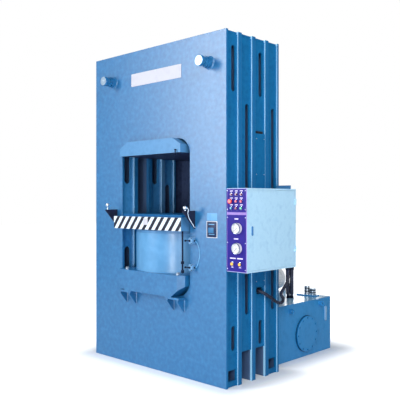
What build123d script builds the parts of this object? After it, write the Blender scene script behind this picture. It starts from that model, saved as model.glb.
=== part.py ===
from build123d import *
import os
from math import radians, tan

os.makedirs("parts", exist_ok=True)

# Up-stroking frame press: five window plates joined by webs, a cylinder in the
# foot of the window, a control cabinet on the right flank and an oil tank behind.
# Millimetres. X to the right, Y to the back, Z up.
# The origin is on the floor, below the middle of the middle plate.

# Press frame
frame_width = 1780
frame_height = 3000
main_plate = 50
outer_plate = 25
main_pitch = 187
outer_gap = 128
window_width = 930
window_bottom = 713
window_height = 1412
window_radius = 150
web_thickness = 16
web_recess = 18
jamb_recess = 25
top_recess = 4
web_root_gap = 2
slot_width = 54
slot_shift = 22
side_slot_end = 117
side_slot_length = 395
foot_slot_low = 297
foot_slot_length = 212
tall_slot_low = 580
tall_slot_length = 1825
pit_height = 271
foot_door_low = 46
foot_door_height = 93
foot_door_width = 112
jamb_slot_width = 75
jamb_slot_shift = 4
jamb_slot_length = 400
jamb_slot_rise = 10
jamb_web_reach = 180

# Anchor lugs in the outer bays
anchor_lug_length = 120
anchor_lug_thickness = 25
anchor_hole = 30

# Lifting trunnions
trunnion_drop = 260
trunnion_inset = 242.5
trunnion_middle = 51
trunnion_collar = 98
trunnion_collar_length = 50
trunnion_groove = 84
trunnion_groove_end = 62
trunnion_ring = 100
trunnion_ring_end = 76
trunnion_neck = 76
trunnion_neck_end = 103
trunnion_disc = 92
trunnion_chamfer = 4
trunnion_reach = 133

# Bare plates on the front face
sign_width = 683
sign_height = 121
sign_x = 17
sign_drop = 276
rating_width = 123
rating_height = 143
rating_inset = 160
rating_z = 1323
sign_thickness = 3
sign_corner = 4

# Cable duct over the second bay from the back
duct_low = 812
duct_high = 2157
duct_sheet = 3
duct_clear = 2
duct_step = 1
cable_entry = (100, 770)
cable_entry_width = 86
cable_entry_height = 60
cable_entry_corner = 20

# Guard over the back of the window
guard_sheet = 4
guard_low = 1180
guard_rise = 85
guard_depth = 128
guard_lap = 40
guard_flange = 24

# Cylinder
base_side_gap = 20
base_height = 197
base_overhang = 90
base_corner = 50
base_chamfer_x = 132
base_chamfer_z = 100
barrel_inset = 2
barrel_wall = 43
barrel_height = 358
ram_clearance = 0.3
ram_rest = 8
ram_chamfer = 6
bore_rise = 10
gland_height = 28
gland_step = 3
gland_chamfer = 3
seal_height = 10
seal_width = 8
port_radius = 16
port_rise = 40
port_overrun = 10
base_bolt_inset_x = 95
base_bolt_inset_y = 60
base_bolt_head = 28
base_bolt_height = 16
washer_radius = 20
washer_thickness = 4
gland_screws = 18
gland_screw_head = 16
gland_screw_socket = 4
gland_screw_inset = 16
gland_screw_sink = 2
gland_pocket_depth = 14
gland_pocket_clearance = 0.8

# Brackets below the cylinder base
shelf_thickness = 18
shelf_inner = 235
shelf_outer = 415
gusset_thickness = 19
gusset_height = 110
gusset_inset = 25
gusset_setback = 6
gusset_tip = 22
gusset_toe = 12

# Upper platen with its temperature probe
upper_side_gap = 50
upper_overhang = 69
upper_height = 133
upper_chamfer_x = 102
upper_chamfer_z = 60
probe_inset = 49
probe_rise = 28
probe_stand = 14
probe_stem = 4
probe_head_radius = 9
probe_head_height = 10
probe_radius = 5
probe_length = 45

# Moving platen with its bolster and striped board
platen_gap = 6
platen_side_gap = 5
platen_overhang = 104
platen_height = 116
platen_chamfer = 4
bolster_inset = 60
bolster_height = 22
tool_hole = 20
tool_hole_inset = 100
tool_hole_depth = 60
board_sheet = 3

# Striker rod with its two dogs
rod_radius = 7
rod_inset = 30
rod_stand = 60
rod_clear = 22
dog_radius = 14
dog_height = 24
upper_dog_drop = 276
lower_dog_drop = 354

# Limit switches with their roller levers
switch_stand = 47
switch_width = 45
switch_height = 56
switch_depth = 40
switch_corner = 5
switch_drops = {"upper": 84, "lower": 316}
switch_bore = 20
switch_shaft = 5
switch_shaft_length = 18
shaft_clearance = 0.05
pivot_inset = 14
lever_reach = 40
lever_gap = 1
lever_boss = 9
lever_width = 8
lever_tip = 5
lever_thickness = 6
lever_roller = 8
roller_width = 12

# Guard brackets and ball-headed sensors beside the platen
bracket_stand = 70
bracket_shift = 10
bracket_thickness = 12
bracket_rise = 62
bracket_height = 160
bracket_reach = 145
bracket_tip = 10
bracket_toe = 4
sensor_radius = 18
sensor_stem = 6
sensor_inset = 26
sensor_rises = (46, 25)

# Control cabinet with its hanger, door and handle
cabinet_width = 215
cabinet_inset = 5
cabinet_depth = 685
cabinet_low = 980
cabinet_height = 690
cabinet_sheet = 3
cabinet_corner = 6
hanger_sheet = 8
hanger_length = 156
hanger_height = 64
hanger_rise = 34
hanger_foot = 40
door_rim = 14
door_gap = 2
door_thickness = 20
door_corner = 3
hinge_radius = 6
hinge_stand = 7
hinge_length = 50
hinge_rises = (161, 575)
hinge_leaf = 12
hinge_leaf_shift = 6
hinge_gap = 0.3
hinge_pin = 3
pin_head_rim = 1.5
pin_head_height = 2
handle_inset = 68
handle_rise = 371
handle_length = 76
handle_width = 15
handle_thickness = 9
handle_shaft = 6
handle_gap = 0.3
handle_chamfer = 2.5

# Mounting plate with rows of control gear
gear_stand = 12
gear_sheet = 3
gear_stud = 7
gear_rail = 30
gear_rail_depth = 7
gear_gap = 5
contactor_row = 220
contactor_count = 4
contactor_size = (84, 118, 92)
relay_row = 20
relay_count = 7
relay_size = (46, 84, 76)
terminal_row = -190
terminal_count = 12
terminal_size = (32, 50, 46)

# Operating panel on the cabinet's front, places measured from the cabinet's foot
panel_sheet = 3
panel_edge = 8
panel_corner = 4
panel_split = 482
panel_band = 22
button_outs = (54, 107, 160)
stem_hole = 10
stem_reach = 10
cap_radius = 11
cap_gap = 0.5
cap_chamfer = 1.5
bezel_radius = 14
bezel_height = 8
cap_stand = 4
button_travel = 4
button_clearance = 0.3
lamp_rise = 640
stop_rise = 582
start_rise = 526
lamp_base = 11
lamp_base_height = 4
lamp_lens = 8
lamp_height = 9
mushroom_radius = 20
mushroom_neck = 14
mushroom_neck_length = 8
mushroom_height = 10
mushroom_fillet = 6
gauge_out = 122
gauge_rises = {"upper": 361, "lower": 197}
gauge_radius = 44
gauge_rim = 5
gauge_depth = 30
gauge_face_depth = 12
gauge_lens = 2
lens_step = 1.5
spindle_radius = 1.5
spindle_length = 6
needle_stand = 2
needle_thickness = 1.5
needle_boss = 5
needle_length = 33
needle_width = 3
needle_shift = 9
two_hand_outs = (65, 146)
two_hand_rise = 68
two_hand_cap = 13
two_hand_bezel = 16

# Oil tank
tank_left = -180
tank_width = 925
tank_gap = 195
tank_depth = 920
tank_height = 550
tank_wall = 6
lid_thickness = 8
manhole_inset = 460
manhole_z = 227
manhole_radius = 178
manhole_thickness = 24
manhole_chamfer = 5
manhole_bolts = 12
manhole_bolt_inset = 18
manhole_bolt_head = 9
manhole_bolt_height = 7
lug_insets = (177, 212)
lug_drops = (60, 46)
lug_thickness = 14
lug_stand = 38
lug_radius = 23
lug_eye = 11
level_inset = 104
level_drop = 166
level_length = 127
level_body = 26
level_body_depth = 12
level_tube = 14
level_tube_gap = 20
level_tube_depth = 6
level_nut = 8
filler_inset_x = 148
filler_inset_y = 110
filler_radius = 27
filler_wall = 5
filler_neck = 26
filler_pad = (220, 100)
filler_pad_shift = 62
filler_pad_thickness = 12
breather_shift = 72
breather_radius = 28
breather_height = 92
filler_cap_height = 70
filler_cap_wall = 6
filler_cap_gap = 0.3
filler_ribs = 16
filler_rib = 3

# Pump set and oil lines on the tank lid
motor_inset_x = 285
motor_inset_y = 450
motor_length = 330
motor_radius = 125
motor_axis = 150
motor_fins = 28
motor_fin = 24
motor_fin_width = 4
motor_fin_root = 12
motor_flange = 30
motor_cowl = 50
motor_cowl_step = 2
motor_foot_inset = 60
motor_foot_width = 46
motor_foot_height = 18
motor_leg = (26, 40)
motor_leg_height = 60
motor_box = (110, 120)
motor_box_rise = 45
bell_length = 90
bell_step = 10
bell_rim = 14
pump_length = 100
pump_radius = 62
suction_flange = 20
suction_flange_height = 12
valve_inset = 140
valve_size = (120, 120, 150)
solenoid_levels = (36, 80, 124)
solenoid_size = (44, 36, 70)
solenoid_corner = 6
pipe_radius = 21
return_pipe_radius = 14
feed_flange = 14
feed_flange_size = 92
valve_flange_size = 84
feed_bend = 50
return_insets = (360, 460)
return_inset_y = 45
return_rise = 83
return_bend = 44

# Cables
conduit_diameter = 33
harness_diameter = 28
thin_cable = 6
thin_cable_gap = 0.3
bracket_cable_gap = 0.5
gland_radius = 20
gland_length = 24
conduit_out = 178
conduit_inset = 42
landing_inset_x = 238
landing_inset_y = 397
conduit_strands = (-18, 18)
harness_lead = (-10, 35)

# Levels and faces that follow from the sizes above
side_face = frame_width / 2
half_plate = main_plate / 2
rear_face = main_pitch + half_plate + outer_gap + outer_plate
front_face = -rear_face
window_top = window_bottom + window_height
window_side = window_width / 2
trunnion_z = frame_height - trunnion_drop
trunnion_span = frame_width - 2 * trunnion_inset
sign_centre = (sign_x, frame_height - sign_drop)
rating_centre = (side_face - rating_inset, rating_z)
guard_high = window_top + guard_rise
base_width = window_width - 2 * base_side_gap
base_depth = 2 * (rear_face + base_overhang)
base_top = window_bottom + base_height
barrel_radius = base_width / 2 - barrel_inset
barrel_top = base_top + barrel_height
ram_radius = barrel_radius - barrel_wall
bore_radius = ram_radius + ram_clearance
bore_low = window_bottom + base_chamfer_z + bore_rise
port_z = bore_low + port_rise
gland_top = barrel_top + gland_height
platen_low = gland_top + platen_gap
platen_top = platen_low + platen_height
platen_width = window_width - 2 * platen_side_gap
platen_depth = 2 * (rear_face + platen_overhang)
bolster_top = platen_top + bolster_height
bolster_size = platen_width - 2 * bolster_inset
tool_hole_pitch = bolster_size - 2 * tool_hole_inset
upper_width = window_width - 2 * upper_side_gap
upper_depth = 2 * (rear_face + upper_overhang)
upper_low = window_top - upper_height
switch_x = window_side + switch_stand
switch_levels = {name: platen_low - drop for name, drop in switch_drops.items()}
bracket_columns = [side * (window_side + bracket_stand - side * bracket_shift) for side in (-1, 1)]
bracket_top = platen_top + bracket_rise
cabinet_front = front_face + cabinet_inset
cabinet_back = cabinet_front + cabinet_depth
cabinet_top = cabinet_low + cabinet_height
cabinet_right = side_face + cabinet_width
tank_right = tank_left + tank_width
tank_front = rear_face + tank_gap
tank_back = tank_front + tank_depth
filler_place = (tank_right - filler_inset_x, tank_back - filler_inset_y)
conduit_exit = (side_face + conduit_out, cabinet_back - conduit_inset)
conduit_landing = (tank_right - landing_inset_x, tank_back - landing_inset_y)
fall = Vector(*conduit_landing, 0) - Vector(*conduit_exit, 0)
run = fall.normalized()
across = Vector(run.Y, -run.X, 0)

plate_spans = {
    "front_plate": (front_face, front_face + outer_plate),
    "front_main_plate": (-main_pitch - half_plate, -main_pitch + half_plate),
    "middle_main_plate": (-half_plate, half_plate),
    "rear_main_plate": (main_pitch - half_plate, main_pitch + half_plate),
    "rear_plate": (rear_face - outer_plate, rear_face),
}
spans = list(plate_spans.values())
bays = [(before[1], after[0]) for before, after in zip(spans, spans[1:])]


def facing_front(y):
    """Plane at depth y that looks towards the viewer: X to the right, Z up."""
    return Plane.XZ.offset(-y)


def facing_right(x):
    """Plane at x that looks to the right: Y across, Z up."""
    return Plane.YZ.offset(x)


def write(piece, name):
    """Labels a finished piece and writes it."""
    piece.part.label = name
    export_step(piece.part, f"parts/{name}.step")


def cord(points, diameter):
    """Round cord along straight runs joined by tangent arcs."""
    radii = []
    for before, corner, after in zip(points, points[1:], points[2:]):
        arriving = Vector(*corner) - Vector(*before)
        leaving = Vector(*after) - Vector(*corner)
        turn = radians(arriving.get_angle(leaving))
        radii.append(0.45 * min(arriving.length, leaving.length) / tan(turn / 2))
    print("smallest bend", round(min(radii)), "for a cord of", diameter)
    start = Vector(*points[0])
    with BuildPart() as tube:
        with BuildLine() as route:
            FilletPolyline(*points, radius=radii)
        with BuildSketch(Plane(origin=start, z_dir=Vector(*points[1]) - start)):
            Circle(diameter / 2)
        sweep(path=route.line)
    return tube.part


# Window plates
for name, (near, far) in plate_spans.items():
    with BuildPart() as plate:
        with BuildSketch(facing_front(far)):
            with Locations((0, frame_height / 2)):
                Rectangle(frame_width, frame_height)
            with Locations((0, window_bottom + window_height / 2)):
                RectangleRounded(window_width, window_height, window_radius, mode=Mode.SUBTRACT)
        extrude(amount=far - near)
    write(plate, name)

# Webs that close the bays on both flanks and on top, with access slots
web_top = frame_height - top_recess
side_web_top = web_top - web_thickness - web_root_gap
web_face = side_face - web_recess
top_slot = frame_height - side_slot_end
short_slots = (
    (top_slot - side_slot_length, side_slot_length),
    (foot_slot_low, foot_slot_length),
)
tall_slot = ((tall_slot_low, tall_slot_length),)
foot_levels = (0, pit_height, pit_height, 0)
bay_slots = (short_slots, tall_slot, short_slots, tall_slot)
with BuildPart() as outer_webs:
    for side in (1, -1):
        for bay, slots, foot in zip(bays, bay_slots, foot_levels):
            middle = (bay[0] + bay[1]) / 2
            with BuildSketch(facing_right(side * web_face)):
                with Locations((middle, (foot + side_web_top) / 2)):
                    Rectangle(bay[1] - bay[0], side_web_top - foot)
                for low, length in slots:
                    with Locations((middle + slot_shift, low + length / 2)):
                        SlotOverall(length, slot_width, rotation=90, mode=Mode.SUBTRACT)
                if foot == 0:
                    with Locations((middle, foot_door_low + foot_door_height / 2)):
                        Rectangle(foot_door_width, foot_door_height, mode=Mode.SUBTRACT)
            extrude(amount=-side * web_thickness)
    for near, far in bays:
        with BuildSketch(Plane.XY.offset(web_top)):
            with Locations((0, (near + far) / 2)):
                Rectangle(2 * web_face, far - near)
        extrude(amount=-web_thickness)
    with BuildSketch(facing_right(web_face)):
        with Locations(cable_entry):
            RectangleRounded(cable_entry_width, cable_entry_height, cable_entry_corner)
    extrude(amount=-web_thickness, mode=Mode.SUBTRACT)
write(outer_webs, "outer_webs")

# Webs beside the window; the second bay from the front stays open there
jamb_low = window_bottom - jamb_web_reach
jamb_high = window_top + jamb_web_reach
jamb_slot_low = window_top + jamb_slot_rise - jamb_slot_length
paired_slots = (
    (jamb_slot_low, jamb_slot_length),
    (window_bottom, jamb_slot_length),
)
with BuildPart() as jamb_webs:
    for side in (1, -1):
        for bay, slots in (
            (bays[0], paired_slots),
            (bays[2], paired_slots),
            (bays[3], ((jamb_slot_low - jamb_slot_length, jamb_slot_length),)),
        ):
            middle = (bay[0] + bay[1]) / 2
            with BuildSketch(facing_right(side * (window_side + jamb_recess))):
                with Locations((middle, (jamb_low + jamb_high) / 2)):
                    Rectangle(bay[1] - bay[0], jamb_high - jamb_low)
                for low, length in slots:
                    with Locations((middle - jamb_slot_shift, low + length / 2)):
                        SlotOverall(length, jamb_slot_width, rotation=90, mode=Mode.SUBTRACT)
            extrude(amount=side * web_thickness)
write(jamb_webs, "jamb_webs")

# Anchor lugs on the floor inside the outer bays
anchor_x = web_face - web_thickness - anchor_lug_length / 2
anchor_y = (bays[3][0] + bays[3][1]) / 2
with BuildPart() as foot_lugs:
    with BuildSketch():
        with GridLocations(2 * anchor_x, 2 * anchor_y, 2, 2):
            Rectangle(anchor_lug_length, outer_gap)
            Circle(anchor_hole / 2, mode=Mode.SUBTRACT)
    extrude(amount=anchor_lug_thickness)
write(foot_lugs, "foot_lugs")

# Turned lifting trunnions, two on each outer plate
with BuildPart() as lifting_trunnions:
    for face, outward in ((front_face, -1), (rear_face, 1)):
        for x in (trunnion_middle - trunnion_span / 2, trunnion_middle + trunnion_span / 2):
            shaft = Plane(origin=(x, face, trunnion_z), x_dir=(1, 0, 0), z_dir=(0, 0, -outward))
            with BuildSketch(shaft):
                with BuildLine():
                    Polyline(
                        (0, 0),
                        (trunnion_collar / 2, 0),
                        (trunnion_collar / 2, -trunnion_collar_length),
                        (trunnion_groove / 2, -trunnion_collar_length),
                        (trunnion_groove / 2, -trunnion_groove_end),
                        (trunnion_ring / 2, -trunnion_groove_end),
                        (trunnion_ring / 2, -trunnion_ring_end),
                        (trunnion_neck / 2, -trunnion_ring_end),
                        (trunnion_neck / 2, -trunnion_neck_end),
                        (trunnion_disc / 2, -trunnion_neck_end),
                        (trunnion_disc / 2, trunnion_chamfer - trunnion_reach),
                        (trunnion_disc / 2 - trunnion_chamfer, -trunnion_reach),
                        (0, -trunnion_reach),
                        close=True,
                    )
                make_face()
            revolve(axis=Axis((x, face, trunnion_z), (0, 1, 0)))
write(lifting_trunnions, "lifting_trunnions")

# Bare sign plate and bare rating plate
with BuildPart() as front_signs:
    with BuildSketch(facing_front(front_face)):
        with Locations(sign_centre):
            RectangleRounded(sign_width, sign_height, sign_corner)
        with Locations(rating_centre):
            RectangleRounded(rating_width, rating_height, sign_corner)
    extrude(amount=sign_thickness)
write(front_signs, "front_signs")

# Folded cover flush with the plate edges, behind it the cables run up the bay
duct_near = bays[2][0] + duct_clear
duct_far = bays[2][1] - duct_clear
duct_middle = ((duct_near + duct_far) / 2, (duct_low + duct_high) / 2)
with BuildPart() as cable_duct:
    with BuildSketch(facing_right(web_face)):
        with Locations(duct_middle):
            Rectangle(duct_far - duct_near, duct_high - duct_low)
    extrude(amount=web_recess - duct_step)
    with BuildSketch(facing_right(web_face)):
        with Locations(duct_middle):
            Rectangle(duct_far - duct_near - 2 * duct_sheet, duct_high - duct_low)
    extrude(amount=web_recess - duct_step - duct_sheet, mode=Mode.SUBTRACT)
write(cable_duct, "cable_duct")

# Sheet guard over the back of the window, open below for the cylinder
guard_half = window_side + guard_lap
with BuildPart() as rear_guard:
    with BuildSketch(Plane.XY.offset(guard_low)):
        with Locations((0, rear_face + guard_depth / 2)):
            Rectangle(2 * guard_half, guard_depth)
    extrude(amount=guard_high - guard_low)
    with BuildSketch(Plane.XY.offset(guard_low)):
        with Locations((0, rear_face + (guard_depth - guard_sheet) / 2)):
            Rectangle(2 * (guard_half - guard_sheet), guard_depth - guard_sheet)
    extrude(amount=guard_high - guard_low - guard_sheet, mode=Mode.SUBTRACT)
    with BuildSketch(facing_front(rear_face)):
        for side in (1, -1):
            with Locations((side * (guard_half + guard_flange / 2), (guard_low + guard_high) / 2)):
                Rectangle(guard_flange, guard_high - guard_low)
    extrude(amount=-guard_sheet)
write(rear_guard, "rear_guard")

# Cylinder base: a block on the sill of the window, bored for the ram
bolt_x = base_width / 2 - base_bolt_inset_x
bolt_y = base_depth / 2 - base_bolt_inset_y
with BuildPart() as cylinder_base:
    with BuildSketch(facing_front(base_depth / 2)):
        with BuildLine():
            Polyline(
                (-base_width / 2, base_top),
                (base_width / 2, base_top),
                (base_width / 2, window_bottom + base_chamfer_z),
                (base_width / 2 - base_chamfer_x, window_bottom),
                (-base_width / 2 + base_chamfer_x, window_bottom),
                (-base_width / 2, window_bottom + base_chamfer_z),
                close=True,
            )
        make_face()
    extrude(amount=base_depth)
    upright_edges = cylinder_base.edges().filter_by(Axis.Z)
    chamfer(upright_edges, length=base_corner)
    with BuildSketch(Plane.XY.offset(base_top)):
        Circle(bore_radius)
    extrude(amount=bore_low - base_top, mode=Mode.SUBTRACT)
    with BuildSketch(facing_front(base_depth / 2)):
        with Locations((0, port_z)):
            Circle(port_radius)
    extrude(amount=base_depth / 2 - ram_radius + port_overrun, mode=Mode.SUBTRACT)
write(cylinder_base, "cylinder_base")

# Cylinder barrel
with BuildPart() as cylinder_barrel:
    with BuildSketch(Plane.XY.offset(base_top)):
        Circle(barrel_radius)
        Circle(bore_radius, mode=Mode.SUBTRACT)
    extrude(amount=barrel_height)
write(cylinder_barrel, "cylinder_barrel")

# Gland ring with its seal groove and screw pockets
groove_low = barrel_top + gland_height / 2 - seal_height / 2
screw_circle = barrel_radius - gland_screw_inset
pocket_low = gland_top - gland_pocket_depth
with BuildPart() as gland_ring:
    with BuildSketch(Plane.XY.offset(barrel_top)):
        Circle(barrel_radius - gland_step)
        Circle(bore_radius, mode=Mode.SUBTRACT)
    extrude(amount=gland_height)
    with BuildSketch(Plane.XY.offset(groove_low)):
        Circle(bore_radius + seal_width)
        Circle(ram_radius, mode=Mode.SUBTRACT)
    extrude(amount=seal_height, mode=Mode.SUBTRACT)
    with BuildSketch(Plane.XY.offset(gland_top)):
        with PolarLocations(screw_circle, gland_screws):
            Circle(gland_screw_head / 2 + gland_pocket_clearance)
    extrude(amount=-gland_pocket_depth, mode=Mode.SUBTRACT)
    outer_rim = gland_ring.edges().filter_by(GeomType.CIRCLE).group_by(Axis.Z)[-1].sort_by(SortBy.RADIUS)[-1]
    chamfer(outer_rim, length=gland_chamfer)
write(gland_ring, "gland_ring")

# Ram seal in the groove
with BuildPart() as ram_seal:
    with BuildSketch(Plane.XY.offset(groove_low)):
        Circle(bore_radius + seal_width)
        Circle(bore_radius, mode=Mode.SUBTRACT)
    extrude(amount=seal_height)
write(ram_seal, "ram_seal")

# Hexagon bolts that hold the base down and socket screws of the gland ring
with BuildPart() as cylinder_bolts:
    with BuildSketch(Plane.XY.offset(base_top)):
        with GridLocations(2 * bolt_x, 2 * bolt_y, 2, 2):
            Circle(washer_radius)
    extrude(amount=washer_thickness)
    with BuildSketch(Plane.XY.offset(base_top + washer_thickness)):
        with GridLocations(2 * bolt_x, 2 * bolt_y, 2, 2):
            RegularPolygon(base_bolt_head / 2, 6, major_radius=False)
    extrude(amount=base_bolt_height)
    with BuildSketch(Plane.XY.offset(pocket_low)):
        with PolarLocations(screw_circle, gland_screws):
            Circle(gland_screw_head / 2)
            RegularPolygon(gland_screw_socket, 6, mode=Mode.SUBTRACT)
    extrude(amount=gland_pocket_depth - gland_screw_sink)
write(cylinder_bolts, "cylinder_bolts")

# Welded brackets that carry the overhang of the cylinder base, front and back
shelf_low = window_bottom - shelf_thickness
with BuildPart() as support_brackets:
    for outward in (-1, 1):
        for side in (-1, 1):
            with BuildSketch(Plane.XY.offset(shelf_low)):
                shelf_x = side * (shelf_inner + shelf_outer) / 2
                with Locations((shelf_x, outward * (rear_face + base_overhang / 2))):
                    Rectangle(shelf_outer - shelf_inner, base_overhang)
            extrude(amount=shelf_thickness)
            for x in (shelf_inner + gusset_inset, shelf_outer - gusset_inset):
                with BuildSketch(facing_right(side * x - gusset_thickness / 2)):
                    with BuildLine():
                        Polyline(
                            (outward * rear_face, shelf_low),
                            (outward * (base_depth / 2 - gusset_setback), shelf_low),
                            (outward * (base_depth / 2 - gusset_setback), shelf_low - gusset_tip),
                            (outward * (rear_face + gusset_toe), shelf_low - gusset_height),
                            (outward * rear_face, shelf_low - gusset_height),
                            close=True,
                        )
                    make_face()
                extrude(amount=gusset_thickness)
write(support_brackets, "support_brackets")

# Upper platen under the head of the window
with BuildPart() as upper_platen:
    with BuildSketch(facing_front(upper_depth / 2)):
        with BuildLine():
            Polyline(
                (-upper_width / 2, upper_low),
                (upper_width / 2, upper_low),
                (upper_width / 2, window_top - upper_chamfer_z),
                (upper_width / 2 - upper_chamfer_x, window_top),
                (-upper_width / 2 + upper_chamfer_x, window_top),
                (-upper_width / 2, window_top - upper_chamfer_z),
                close=True,
            )
        make_face()
    extrude(amount=upper_depth)
    with BuildSketch(Plane.XY.offset(upper_low)):
        with GridLocations(tool_hole_pitch, tool_hole_pitch, 2, 2):
            Circle(tool_hole / 2)
    extrude(amount=tool_hole_depth, mode=Mode.SUBTRACT)
write(upper_platen, "upper_platen")

# Temperature probe on the front of the upper platen
probe_x = upper_width / 2 - probe_inset
probe_y = -upper_depth / 2 - probe_stand
probe_z = upper_low + probe_rise
with BuildPart() as temperature_probe:
    with BuildSketch(facing_front(-upper_depth / 2)):
        with Locations((probe_x, probe_z - probe_head_height / 2)):
            Circle(probe_stem)
    extrude(amount=probe_stand)
    with BuildSketch(Plane.XY.offset(probe_z)):
        with Locations((probe_x, probe_y)):
            Circle(probe_head_radius)
    extrude(amount=-probe_head_height)
    with BuildSketch(Plane.XY.offset(probe_z)):
        with Locations((probe_x, probe_y)):
            Circle(probe_radius)
    extrude(amount=-probe_head_height - probe_length)
write(temperature_probe, "temperature_probe")

# Ram
with BuildPart() as ram:
    with BuildSketch(Plane.XY.offset(bore_low + ram_rest)):
        Circle(ram_radius)
    extrude(amount=platen_low - bore_low - ram_rest)
    chamfer(ram.edges().filter_by(GeomType.CIRCLE).sort_by(Axis.Z)[0], length=ram_chamfer)
write(ram, "ram")

# Moving platen
with BuildPart() as moving_platen:
    with BuildSketch(Plane.XY.offset(platen_low)):
        Rectangle(platen_width, platen_depth)
    extrude(amount=platen_height)
    chamfer(moving_platen.edges().filter_by(Axis.Z), length=platen_chamfer)
    with BuildSketch(Plane.XY.offset(platen_top)):
        with GridLocations(tool_hole_pitch, tool_hole_pitch, 2, 2):
            Circle(tool_hole / 2)
    extrude(amount=bolster_height - tool_hole_depth, mode=Mode.SUBTRACT)
write(moving_platen, "moving_platen")

# Bolster plate on the moving platen, with four tool holes
with BuildPart() as lower_bolster:
    with BuildSketch(Plane.XY.offset(platen_top)):
        Rectangle(bolster_size, bolster_size)
        with GridLocations(tool_hole_pitch, tool_hole_pitch, 2, 2):
            Circle(tool_hole / 2, mode=Mode.SUBTRACT)
    extrude(amount=bolster_height)
write(lower_bolster, "lower_bolster")

# Striped board on the front of the moving platen
with BuildPart() as hazard_board:
    with BuildSketch(facing_front(-platen_depth / 2)):
        with Locations((0, platen_low + platen_height / 2)):
            Rectangle(platen_width, platen_height)
    extrude(amount=board_sheet)
write(hazard_board, "hazard_board")

# Striker rod hung from the moving platen, with two clamped dogs
rod_x = window_side - rod_inset
rod_y = front_face - rod_stand
rod_length = platen_low - base_top - rod_clear
with BuildPart() as striker_rod:
    with BuildSketch(Plane.XY.offset(platen_low)):
        with Locations((rod_x, rod_y)):
            Circle(rod_radius)
    extrude(amount=-rod_length)
    for drop in (upper_dog_drop, lower_dog_drop):
        with BuildSketch(Plane.XY.offset(platen_low - drop - dog_height / 2)):
            with Locations((rod_x, rod_y)):
                Circle(dog_radius)
        extrude(amount=dog_height)
write(striker_rod, "striker_rod")

# Limit switch housings on the front plate, bored for the lever shafts
switch_face = front_face - switch_depth
pivot_x = switch_x - switch_width / 2 + pivot_inset
with BuildPart() as limit_switches:
    with BuildSketch(facing_front(front_face)):
        for level in switch_levels.values():
            with Locations((switch_x, level)):
                RectangleRounded(switch_width, switch_height, switch_corner)
    extrude(amount=switch_depth)
    with BuildSketch(facing_front(switch_face)):
        for level in switch_levels.values():
            with Locations((pivot_x, level)):
                Circle(switch_shaft + shaft_clearance)
    extrude(amount=-switch_bore, mode=Mode.SUBTRACT)
write(limit_switches, "limit_switches")

# Roller levers
lever_face = switch_face - lever_gap
for name, level in switch_levels.items():
    with BuildPart() as lever:
        with BuildSketch(facing_front(switch_face)):
            with Locations((pivot_x, level)):
                Circle(switch_shaft)
        extrude(amount=-switch_shaft_length)
        with BuildSketch(facing_front(lever_face)):
            with Locations((pivot_x, level)):
                Circle(lever_boss)
            with Locations((pivot_x - lever_reach / 2, level)):
                Rectangle(lever_reach, lever_width)
            with Locations((pivot_x - lever_reach, level)):
                Circle(lever_tip)
        extrude(amount=lever_thickness)
        with BuildSketch(facing_front(lever_face - lever_thickness)):
            with Locations((pivot_x - lever_reach, level)):
                Circle(lever_roller)
        extrude(amount=roller_width)
        with BuildSketch(facing_front(switch_face)):
            with Locations((pivot_x, level)):
                Circle(switch_shaft)
        extrude(amount=2 * lever_gap)
    write(lever, f"switch_lever_{name}")

# Folded brackets on the front face, one each side of the platen
with BuildPart() as guard_brackets:
    for x in bracket_columns:
        with BuildSketch(facing_right(x - bracket_thickness / 2)):
            with BuildLine():
                Polyline(
                    (front_face, bracket_top),
                    (front_face - bracket_reach, bracket_top),
                    (front_face - bracket_reach, bracket_top - bracket_tip),
                    (front_face - bracket_toe, bracket_top - bracket_height),
                    (front_face, bracket_top - bracket_height),
                    close=True,
                )
            make_face()
        extrude(amount=bracket_thickness)
write(guard_brackets, "guard_brackets")

# Ball-headed sensors on the tips of the brackets
sensor_y = front_face - bracket_reach + sensor_inset
sensor_z = bracket_top + sensor_rises[1]
with BuildPart() as guard_sensors:
    for x, rise in zip(bracket_columns, sensor_rises):
        with BuildSketch(Plane.XY.offset(bracket_top)):
            with Locations((x, sensor_y)):
                Circle(sensor_stem)
        extrude(amount=rise)
        with Locations((x, sensor_y, bracket_top + rise)):
            Sphere(sensor_radius)
write(guard_sensors, "guard_sensors")

# Thin cables on the front face: from the right sensor and from the switches
cable_y = front_face - thin_cable / 2 - thin_cable_gap
bracket_x = bracket_columns[1]
right_of_bracket = bracket_x + bracket_thickness / 2 + thin_cable / 2 + bracket_cable_gap
upper_switch = switch_levels["upper"]
lower_switch = switch_levels["lower"]
switch_right = switch_x + switch_width / 2
sensor_lead = cord(
    [
        (bracket_x + sensor_radius, sensor_y, sensor_z),
        (bracket_x + sensor_radius + 16, sensor_y, sensor_z),
        (bracket_x + sensor_radius + 20, sensor_y + 4, sensor_z - 20),
        (bracket_x + sensor_radius + 2, sensor_y + 12, sensor_z - 44),
        (right_of_bracket, front_face - 90, bracket_top - 38),
        (right_of_bracket, front_face - 79, bracket_top - 66),
        (right_of_bracket, front_face - 52, bracket_top - 98),
        (right_of_bracket, front_face - 30, bracket_top - 122),
        (right_of_bracket, front_face - 18, bracket_top - 144),
        (right_of_bracket, front_face, bracket_top - 144),
    ],
    thin_cable,
)
switch_lead = cord(
    [
        (switch_right, cable_y - 10, upper_switch),
        (switch_right + 20, cable_y - 10, upper_switch),
        (switch_right + 36, cable_y, upper_switch - 34),
        (switch_right + 50, cable_y, upper_switch - 74),
        (switch_right + 58, cable_y, upper_switch - 122),
        (switch_right + 44, cable_y, upper_switch - 166),
        (switch_right + 34, cable_y, upper_switch - 202),
        (switch_right + 20, cable_y - 10, lower_switch),
        (switch_right, cable_y - 10, lower_switch),
    ],
    thin_cable,
)
with BuildPart() as sensor_cables:
    add([sensor_lead, switch_lead])
write(sensor_cables, "sensor_cables")

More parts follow.
